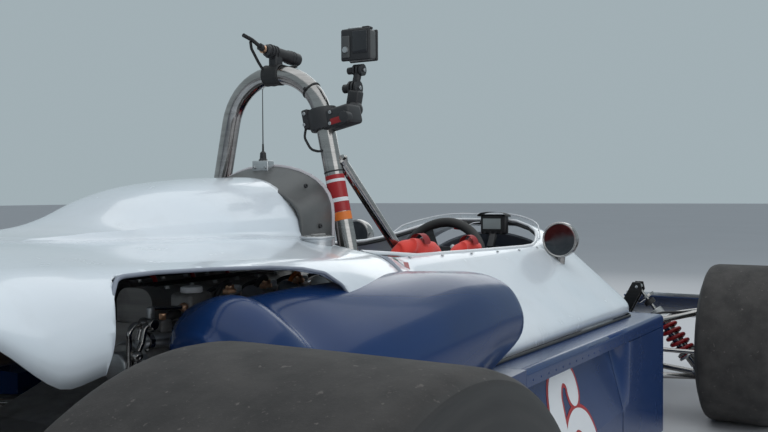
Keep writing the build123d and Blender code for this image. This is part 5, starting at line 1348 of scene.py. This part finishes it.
def makeDash():
    piece = Piece("dashPanel", "black dialFace machined red ivory", "black_trim", ["dashboard"])
    outline = [(-y, z) for y, z in dash["outline"][:1]] + dash["outline"] + [(-y, z) for y, z in dash["outline"][:0:-1]]
    turn = Matrix.Translation((dash["x"], 0, 0)) @ Matrix(((0, 0, 1, 0), (1, 0, 0, 0), (0, 1, 0, 0), (0, 0, 0, 1)))
    piece.plate(outline, 4, 0, turn, 0.8)
    out = Vector((-1, 0, 0))
    for y, z, r in dash["dials"]:
        piece.start(dash["x"], y, z)
        piece.lathe([(r, -1), (r, 10), (r * 0.95, 12), (r * 0.90, 11), (r * 0.88, 4)], (0, 0, 0), out, 2, 48)
        piece.lathe([(0, 4.5), (r * 0.89, 4.5)], (0, 0, 0), out, 1, 48)
        for a in (math.radians(22.5 * k - 45) for k in range(13)):
            d = Vector((0, math.cos(a), math.sin(a))) * r
            piece.rod(out * 5.2 + d * 0.66, out * 5.2 + d * 0.80, 0.7, 4, 6)
        a = math.radians(150 + r)  # each hand points its own way
        d = Vector((0, math.cos(a), math.sin(a))) * r
        piece.rod(out * 6.2 - d * 0.14, out * 6.2 + d * 0.70, 1, 3, 8)
        piece.lathe([(0, 7.8), (3.4, 7.2), (4, 4.5)], (0, 0, 0), out, 0, 20)
    for y, z in dash["switches"]:
        piece.start(dash["x"], y, z).lathe([(9, 0), (9, 2.2), (5.5, 3), (5.5, 6), (0, 6)], (0, 0, 0), out, 2, 20)
        piece.rod((-5, 0, 0), (-21, 0, 6), 1.8, 2, 12, tip=2.8)
    piece.start(dash["x"])
    for y, z in dash["screws"]:
        piece.capScrew((0, y, z), out, 4, 2)
    for y, look in dash["lights"]:
        piece.lathe([(6, 0), (6, 3), (4.6, 6.2), (0, 7.5)], (0, y, 488), out, look, 20)
    piece.done(sharp=45)


timer = {
    "place": (596, -53, 666), "case": [((12, 0, 0), (24, 86, 60), 0, 8, Matrix(), 4), ((-0.5, 3, 1), (3, 70, 44), 2, 1),
                                       ((-2.2, 3, 2), (1.2, 58, 32), 1, 0.4)],
    "lead": [(6, 46, 6), (2, 66, 4), (-2, 92, -8), (-4, 108, -15)], "hood": (-14, 0, 20, 30),
}


def makeTimer():
    piece = Piece("lapTimerCase", "black display tape ivory red", "black_trim", ["lap_timer"]).start(*timer["place"])
    for values in timer["case"]:
        piece.block(*values)
    x, y, z = timer["place"]
    arc = [math.pi * k / 16 for k in range(17)]
    piece.rows([[(x + dx, y - math.cos(a) * 46, z + 24 + math.sin(a) ** 0.7 * 14 - dx * 0.05) for a in arc]
                for dx in timer["hood"]], 2)
    for side in (-27, -9, 9, 27):
        piece.rod((1, side, -25), (-1.6, side, -25), 3.8, 0, 16)
    piece.block((-8, 0, -50), (14, 20, 46), 0, 2, Matrix.Rotation(0.55, 4, "Y")).pipe(timer["lead"], 1.8, 30, 3, 3)
    piece.rod((-4, 106, -14), (-6, 128, -13), 4.8, 4, 16, tip=3.4).done(sharp=50)


# Engine bay: injection gear, cam covers, leads, linkage, exhaust bands and gearbox bolts

bay = {"cylinders": (-456, -550, -644, -738), "rail": (-172, 587), "coverZ": 612, "camY": 62}

injector = {  # the parts at each cylinder, counted from the rail
    "blocks": [((0, -2, -2), (50, 36, 28), 0, 5), ((2, -4, 12), (40, 26, 4), 5, 1), ((3, -6, -24), (30, 26, 30), 0, 3)],
    "rods": [((-10, -4, 10), (-10, -4, 20), 11.5, 1, 6, 0.8), ((-10, -4, 19), (-10, -4, 27), 7.5, 1, 20, 0.8),
             ((14, 4, 10), (14, 4, 24), 10, 2, 24, 3), ((-54, -10, 6), (-54, -10, -6), 8.5, 1, 6, 0.6),
             ((-34, 4, -6), (-26, 4, -6), 11.5, 1, 6, 0.6)],
    "lead": [(-10, -4, 25), (-20, -12, 34), (-44, -16, 30), (-54, -10, 6)],
    "hose": [(14, 4, 16), (26, 34, 22), (18, 64, 13), (8, 76, -7)],
}


def makeInjection():
    piece = Piece("injectionRail", "castAlloy brass ivory orange black machined", "cast_alloy")
    y, z = bay["rail"]
    piece.rod((-862, y, z - 6), (-430, y, z - 6), 8, 5, 24, 1)
    for x in bay["cylinders"]:
        piece.start(x, y, z)
        for values in injector["blocks"]:
            piece.block(*values)
        for values in injector["rods"]:
            piece.rod(*values)
        for place in ((-20, 10, 12), (20, -14, 12)):
            piece.capScrew(place, (0, 0, 1), 4, 5)
        piece.pipe(injector["lead"], 4.4, 20, 3 if x == bay["cylinders"][1] else 4)
        piece.pipe(injector["hose"], 4, 30, 4, 3)
    piece.start(-836, y, z).block((0, -4, 2), (52, 44, 44), 0, 7).rod((0, -4, 22), (0, -4, 33), 17, 2, 28, 3)
    piece.pipe([(-26, 0, -6), (-48, -2, -8), (-64, 16, -40), (-60, 40, -90)], 7.5, 30, 4).done(sharp=45)


def makeCamTrim():
    piece = Piece("camCoverTrim", "blackSteel machined black red", "cast_alloy")
    z = bay["coverZ"]
    for side in (1, -1):
        y = side * bay["camY"]
        for offset in (-14, 0, 14):  # cast ribs
            piece.block((-600, y + offset, z + 1), (430, 5, 5), 0, 1.2)
        for x in spaced(-800, -400, 57):
            for offset in (-26, 26):
                piece.bolt((x, y + offset, z - 4), (0, 0, 1), 4.6, 1)
    piece.lathe([(0, 20), (20, 20), (24, 17), (24, 4), (20, 0), (20, -6)], (-420, bay["camY"], z), (0, 0, 1), 1, 36)
    for x in bay["cylinders"]:  # plugs and their leads
        piece.rod((x, 0, 560), (x, 0, 590), 11, 2, 20, tip=8)
        piece.pipe([(x, 0, 586), (x, 0, 622), (x - 40, 14, 634), (-800, 20, 630), (-828, 20, 612)], 4, 30, 3, 3)
    distributor = [(0, 50), (26, 48), (36, 40), (38, 10), (34, 0), (30, -30)]
    piece.lathe(distributor, (-828, 20, 575), (0, 0, 1), 2, 40).done(sharp=45)


linkage = {
    "rods": [  # start, end, radius, look, sides, soft edge
        ((-975, -176, 520), (-862, -176, 520), 32, 2, 40, 4), ((-990, -176, 520), (-974, -176, 520), 22, 0, 32, 3),
        ((-966, -200, 556), (-880, -200, 550), 11.5, 0, 32, 3), ((-951, -216, 579), (-951, -190, 579), 8.5, 1, 28, 1.5),
        ((-921, -200, 580), (-921, -200, 590), 5.2, 3, 6, 0.5), ((-948, -202, 600), (-868, -190, 592), 3.2, 1, 16)],
    "blocks": [((-900, -150, 520), (50, 60, 50), 2, 6), ((-948, -204, 588), (11, 9, 30), 0, 3),
               ((-921, -200, 572), (22, 18, 18), 2, 3)],
    "clamps": [  # half section, place, look, steps
        ([(31.8, -6), (34.5, -4)], (-962, -176, 520), 0, 40), ([(31.8, -6), (34.5, -4)], (-876, -176, 520), 0, 40),
        ([(11.2, -5), (13.8, -4)], (-952, -200, 554), 1, 28), ([(11.2, -5), (13.8, -4)], (-900, -200, 554), 1, 28)],
    "pipes": [
        ([(-984, -200, 520), (-984, -200, 572), (-972, -200, 582), (-962, -200, 577), (-968, -200, 558)], 4.2, 12, 1),
        ([(-950, -208, 580), (-962, -208, 578), (-968, -208, 556), (-978, -208, 540), (-979, -208, 524)], 4.6, 20, 1),
    ],
    "balls": [((-978, -208, 538), 8.5, 1), ((-868, -190, 592), 7, 3)],
}


def makeLinkage():  # starter, coolant elbows and the throttle linkage at the engine's rear right
    piece = Piece("rearLinkage", "machined chrome castAlloy brass", "cast_alloy")
    for values in linkage["rods"]:
        piece.rod(*values)
    for values in linkage["blocks"]:
        piece.block(*values)
    for section, place, look, steps in linkage["clamps"]:
        piece.lathe(bothWays(section), place, (1, 0, 0), look, steps)
    for values in linkage["pipes"]:
        piece.pipe(*values)
    for values in linkage["balls"]:
        piece.ball(*values)
    piece.done(sharp=45)


exhaust = {"tail": (160, 604), "clamps": (-1420, -1640), "welds": [(-940, 226, 492), (-1105, 160, 604)]}


def makeExhaustBands():
    piece = Piece("exhaustBands", "machined exhaust", "exhaust_steel")
    for x in exhaust["clamps"]:
        piece.start(x, *exhaust["tail"])
        piece.lathe(bothWays([(48, -8), (49.5, -8)]), (0, 0, 0), (1, 0, 0), 0, 56)
        piece.block((0, 0, 53), (14, 16, 14), 0, 2).rod((0, -14, 53), (0, 14, 53), 3, 0, 12)
    piece.start()
    for place in exhaust["welds"]:
        piece.lathe([(27, -4), (29.5, 0), (27, 4)], place, (1, 0, 0), 1, 40)
    for x in bay["cylinders"]:
        piece.lathe([(21, -3), (24.5, 0), (21, 3)], (x - 12, 172, 502), (-0.2, 1, -0.17), 1, 32)
    piece.done(sharp=50)


gearbox = {
    "flanges": (-1068, -1390), "flangeY": 95, "rear": (-1506, 88),
    "rings": [(12, 78, 10, 132, 5), (6, 38, 0, 166, 4.2)],  # bolts, their circle, first angle, y, size
    "breather": [(-1100, 0, 440), (-1110, 20, 462), (-1200, 40, 470), (-1300, 42, 446), (-1330, 42, 430)],
}


def makeGearboxTrim():
    piece = Piece("gearboxTrim", "machined blackSteel brass", "cast_alloy")
    x, y = gearbox["rear"]
    for z in range(200, 417, 27):
        for side in (1, -1):
            for flange in gearbox["flanges"]:
                piece.bolt((flange, side * gearbox["flangeY"], z), (0, side, 0), 5)
            piece.bolt((x, side * y, z), (-1, 0, 0), 5)
    for side in (1, -1):
        for count, radius, start, y, size in gearbox["rings"]:
            for x, z in circle(count, radius, start):
                piece.bolt((rearAxle + x, side * y, 311 + z), (0, side, 0), size)
    piece.rod((-1100, 0, 428), (-1100, 0, 446), 14, 2, 24, 2).pipe(gearbox["breather"], 6, 40, 1)
    piece.lathe([(0, 12), (16, 12), (20, 9), (24, 4), (24, 0)], (-1500, 0, 250), (-1, 0, 0), 0, 36).done(sharp=45)


# Wheels: tyres by spin, and the rims' nuts, pins, valves and weights

axles = {  # x, tyre radius, wheel's middle plane, rim's half width, spider's plane, tyre's finish
    "front": (frontAxle, 260, 680, 118, 694, "frontTyre"),
    "rear": (rearAxle, 311, 678, 152, 706, "rearTyre"),
}
wheels = [(end, hand, sign) for end in axles for hand, sign in (("left", 1), ("right", -1))]


def makeTyres():
    for end, hand, sign in wheels:
        x, radius, middle, bead, spider, look = axles[end]
        node = f"{end}_tyre_{hand}"
        low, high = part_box(node)
        reach = (high[1] - low[1]) / 2 / mm
        side = 167 + (radius - 167) * 0.45  # moulded ring on the side wall
        profile = [(168, -bead + 7), (172, -bead + 1), (181.5, -bead), (188, -bead - 1), (side - 12, -reach + 1.5),
                   (side - 8, -reach + 0.2), (side - 2, -reach), (side + 6, -reach + 0.4), (side + 9, -reach + 1.6),
                   (radius - 30, -reach + 6), (radius - 18, -reach + 9.5), (radius - 9, -reach + 15),
                   (radius - 3.4, -reach + 24), (radius - 0.6, -reach + 37), (radius - 0.4, -reach + 52),
                   (radius - 0.2, 0)]
        piece = Piece(f"{end}_{hand}_slick", look, "slick_rubber", [node], f"wheel_{end}_{hand}")
        piece.lathe(bothWays(profile) + profile[:1], (x, (high[1] + low[1]) / 2 / mm, radius), (0, 1, 0), 0, 120)
        piece.done(sharp=25)


trim = {
    "cap": [(0, 22), (10, 22), (12.5, 19), (12.5, 12), (30, 12), (33, 9), (34, 0)], "capY": 736,
    "edge": [(177.5, -3), (181.5, -3.5), (183.2, -1.5)],  # rolled rim edge
    "pegs": (4, 78, 22.5), "rimBolts": (24, 150, 7.5), "valve": 0.5, "drillings": [(90, 104), (96, 110)], "disc": 659.4,
}


def makeWheelTrim():
    for end, hand, sign in wheels:
        x, radius, middle, bead, spider, look = axles[end]
        piece = Piece(f"{end}_{hand}_hubTrim", "machined blackSteel black brass",
                      "rim_alloy", [], f"wheel_{end}_{hand}")
        out = Vector((0, sign, 0))
        piece.start(x, sign * trim["capY"], radius).lathe(trim["cap"], (0, 0, 0), out, 0, 48)
        piece.rod(-out, out * 11, 40, 1, 6, 1.5).rod((-12, sign * 13, 0), (12, sign * 13, 0), 1.8, 0, 10)  # nut, pin
        piece.start(x, 0, radius)
        for u, v in circle(*trim["pegs"]):  # drive pegs between the holes
            piece.bolt((u, sign * (spider + 12), v), out, 7.5)
        for u, v in circle(*trim["rimBolts"]):
            piece.capScrew((u, sign * (spider + 15), v), out, 3.4)
        for face in (-1, 1):
            piece.lathe(bothWays(trim["edge"]), (0, sign * (middle + face * bead), 0), out, 0, 120)
        around = Vector((math.cos(trim["valve"]), 0, math.sin(trim["valve"])))
        valve = around * 128 + out * (middle + bead - 30)
        piece.rod(around * 158 + out * (middle + bead - 36), valve + out * 6, 4.2, 3, 16)
        piece.rod(valve, valve + out * 28, 5, 2, 16, tip=4.2)
        piece.block((0, sign * (middle + bead - 14), 157.5), (40, 12, 4), 1, 1)
        for k in range(20):  # brake disc's drillings as dark rings, painted shade in place of holes
            a = math.radians(18 * k)
            for r in trim["drillings"][k % 2]:
                piece.lathe([(0, 0.2), (3.8, 0.2)], (r * math.cos(a), sign * trim["disc"], r * math.sin(a)), out, 1, 10)
        piece.done(sharp=40)


# Suspension: coil springs, rod ends, nuts and brake lines

dampers = [  # lower and upper eye, where the coil starts and ends along them, its turns
    ((1225, 532, 168), (1225, 330, 432), 56, 188, 7),
    ((-1289, 484, 222), (-1289, 300, 486), 64, 268, 9),
]


def makeSprings():
    piece = Piece("coilSprings", "red", "spring_red", ["springs"])
    for low, high, start, end, turns in dampers:
        low, run = Vector(low), (Vector(high) - Vector(low)).normalized()
        piece.helix(low + run * start, low + run * end, 27.5, 6.6, turns, 0, 4)
    piece.twin().done(sharp=60)


def makeDamperTrim():
    piece = Piece("damperTrim", "machined black chrome", "bright_tube")
    for low, high, start, end, turns in dampers:
        low, high = Vector(low), Vector(high)
        run = (high - low).normalized()
        for step in (start - 8, end + 7):  # spring seats with a notched collar
            piece.lathe(bothWays([(20, -5), (34.5, -4), (36, 0)]), low + run * step, run, 0, 36)
        for k in range(7):  # thread above the upper seat
            section = bothWays([(12.5, -3), (21.2, -2.2), (22.6, 0)])
            piece.lathe(section, low + run * (end + 14 + 5 * k), run, 0, 28)
        piece.lathe([(12, -10), (19, -8), (19, 6), (12, 10)], high - run * 66, run, 1, 28)
        for eye in (low, high):
            piece.start(*eye).rod((-20, 0, 0), (20, 0, 0), 6, 2, 20)
            for side in (1, -1):
                piece.bolt((side * 18, 0, 0), (side, 0, 0), 6)
        piece.start()
    piece.twin().done(sharp=40)


arms = [  # outer ball, then the two inner pivots
    ((1225, 610, 140), (1075, 245, 145), (1365, 245, 145)), ((1225, 610, 374), (1075, 245, 290), (1365, 245, 290)),
    ((-1225, 590, 187), (-815, 122, 172), (-1468, 95, 208)), ((-1225, 590, 435), (-815, 104, 398), (-1468, 95, 410)),
]
brakeLines = [((1225, 610, 374), (1100, 262, 296)), ((-1225, 590, 435), (-870, 140, 404))]  # outer ball, inner end


def makeArmTrim():
    piece = Piece("rodEnds", "machined black blackSteel", "bright_tube")
    for outer, *pivots in arms:
        outer = Vector(outer)
        for pivot in map(Vector, pivots):
            run = (outer - pivot).normalized()
            piece.rod(pivot + run * 22, pivot + run * 34, 12.5, 0, 6, 0.6)  # lock nut
            piece.rod(pivot + run * 34, pivot + run * 64, 12.2, 2, 24, 1)
            piece.rod(outer - run * 66, outer - run * 54, 12.5, 0, 6, 0.6)
        for side in (1, -1):
            piece.bolt(outer + Vector((0, 0, 13 * side)), (0, 0, side), 6)
    for outer, inner in brakeLines:  # flexible, along the upper arms
        outer, inner = Vector(outer), Vector(inner)
        hose = outer + Vector((-20, -40, -12))
        path = [(inner, hose, 0, 14), (inner, hose, 0.25, 20), (inner, hose, 0.55, 22)]
        path = [a.lerp(b, share) + Vector((0, 0, lift)) for a, b, share, lift in path]
        piece.pipe(path + [hose, outer + Vector((-36, -16, -60))], 4, 50, 1, 3)
    piece.twin().done(sharp=40)


# Nose, wings and mirrors

aero = {
    "noseFoot": [(705, 296, 500), (1225, 258, 398), (1575, 214, 318)],  # x, half width, z
    "front": [(1850, 250), (1565, 362)],  # leading and trailing edge, x and z
    "main": (-1640, 812, 0.155), "flap": (-1878, 866, 0.44),  # leading edge x and z, and the slope behind it
    "mirror": (421, 326, 634),
    "rim": [(43.5, 6.5), (44.8, 8), (46.5, 8), (47.8, 6), (48.2, 1), (47.8, -12)],
}


def makeNoseTrim():
    piece = Piece("noseTrim", "machined black", "white_paint")
    for x in spaced(730, 1180, 75):  # quarter turn fasteners along the nose's foot
        half, z = along(aero["noseFoot"], x)
        for side in (1, -1):
            piece.start(x, side * (half + 1), z - 46)
            piece.lathe([(0, 2.2), (5.5, 2.2), (6.8, 1), (7.2, 0)], (0, 0, 0), (0, side, 0.18), 0, 20)
            piece.block((0, side * 2.6, 0), (7.5, 1, 1.4), 1, 0.3)
    piece.done(sharp=40)


def makeWingTrim():
    piece = Piece("wingTrim", "machined", "blue_paint")
    (fx0, fz0), (fx1, fz1) = aero["front"]
    (mainX, mainZ, mainSlope), (flapX, flapZ, flapSlope) = aero["main"], aero["flap"]
    for side in (1, -1):
        piece.block((fx1 + 3, side * 445, fz1 + 6), (3, 500, 16), 0, 0.6)  # lip on the trailing edge
        for y in spaced(215, 675, 92):
            for x, z in ((fx0 - 40, fz0 + 24), (fx1 + 40, fz1 - 12)):
                piece.rivet((x, side * y, z), (0.37, 0, 0.93), 0, 14, 1.4, 3.2, 4.2)
        for x in (fx0 - 60, fx0 - 150, fx1 + 50):
            piece.capScrew((x, side * 706, fz0 + (fx0 - x) * (fz1 - fz0) / (fx0 - fx1) - 4), (0, side, 0), 4)
        for x in (-1660, -1760, -1860, -1920, -1950):
            z = mainZ + (mainX - x) * mainSlope if x > flapX - 2 else flapZ + (flapX - x) * flapSlope
            piece.capScrew((x, side * 496, z), (0, side, 0), 5)
        piece.block((-1795, side * 497, 922), (360, 4, 5), 0, 1)
    piece.block((-1966, 0, 912), (3, 970, 20), 0, 0.6)
    for y in (-320, 0, 320):  # slot gap brackets under the flap
        piece.block((-1884, y, 864), (40, 4, 30), 0, 1).bolt((-1884, y - 3, 864), (0, -1, 0), 4)
    for x in spaced(-1860, -1660, 40):
        for y in (-49, 49):
            piece.rivet((x, y, mainZ + 14 + (mainX - x) * mainSlope), (0, 0, 1), 0, 14, 1.4, 3.4, 4.4)
    piece.done(sharp=40)


def makeMirrorTrim():
    piece = Piece("mirrorRims", "chrome mirror", "mirror_glass", ["mirror_glasses"])
    x, y, z = aero["mirror"]
    for side in (1, -1):
        piece.lathe(aero["rim"], (x, side * y, z), (-1, 0, 0), 0, 72)
        # the glass face in the near-black finish, a painted dark reflection
        piece.lathe([(0, 3.5), (20, 4), (43.8, 5.6)], (x, side * y, z), (-1, 0, 0), 1, 64)
    piece.done(sharp=50)


stages = {
    "body panels": [makeEngineCover, makeHipDucts, makeSurround],
    "tub details": [makeNumerals, makeSticker, makeSeamTape, makeTubTrim, makeFrontPanel, makeSkirts, makeLiner],
    "hoop, cameras and headrest": [makeHoop, makeHoopLabels, makeActionCamera, makeBulletCamera, makeAerial,
                                   makeHeadrest, makeHeadrestTrim, makeHeadPad, makeFillerCap],
    "cockpit": [makeCoaming, makeScreen, makeSeatShell, makeHarness, makeDrape, makeSteeringWheel, makeDash, makeTimer],
    "engine bay": [makeInjection, makeCamTrim, makeLinkage, makeExhaustBands, makeGearboxTrim],
    "wheels and suspension": [makeTyres, makeWheelTrim, makeSprings, makeDamperTrim, makeArmTrim],
    "wings and mirrors": [makeNoseTrim, makeWingTrim, makeMirrorTrim],
    "floor, lamps and camera": [makeStage, makeWorld, makeLamps, makeCamera],
}
for title, makers in stages.items():
    for maker in makers:
        maker()
    print(title, "made")

bpy.context.scene.view_settings.view_transform = "Standard"
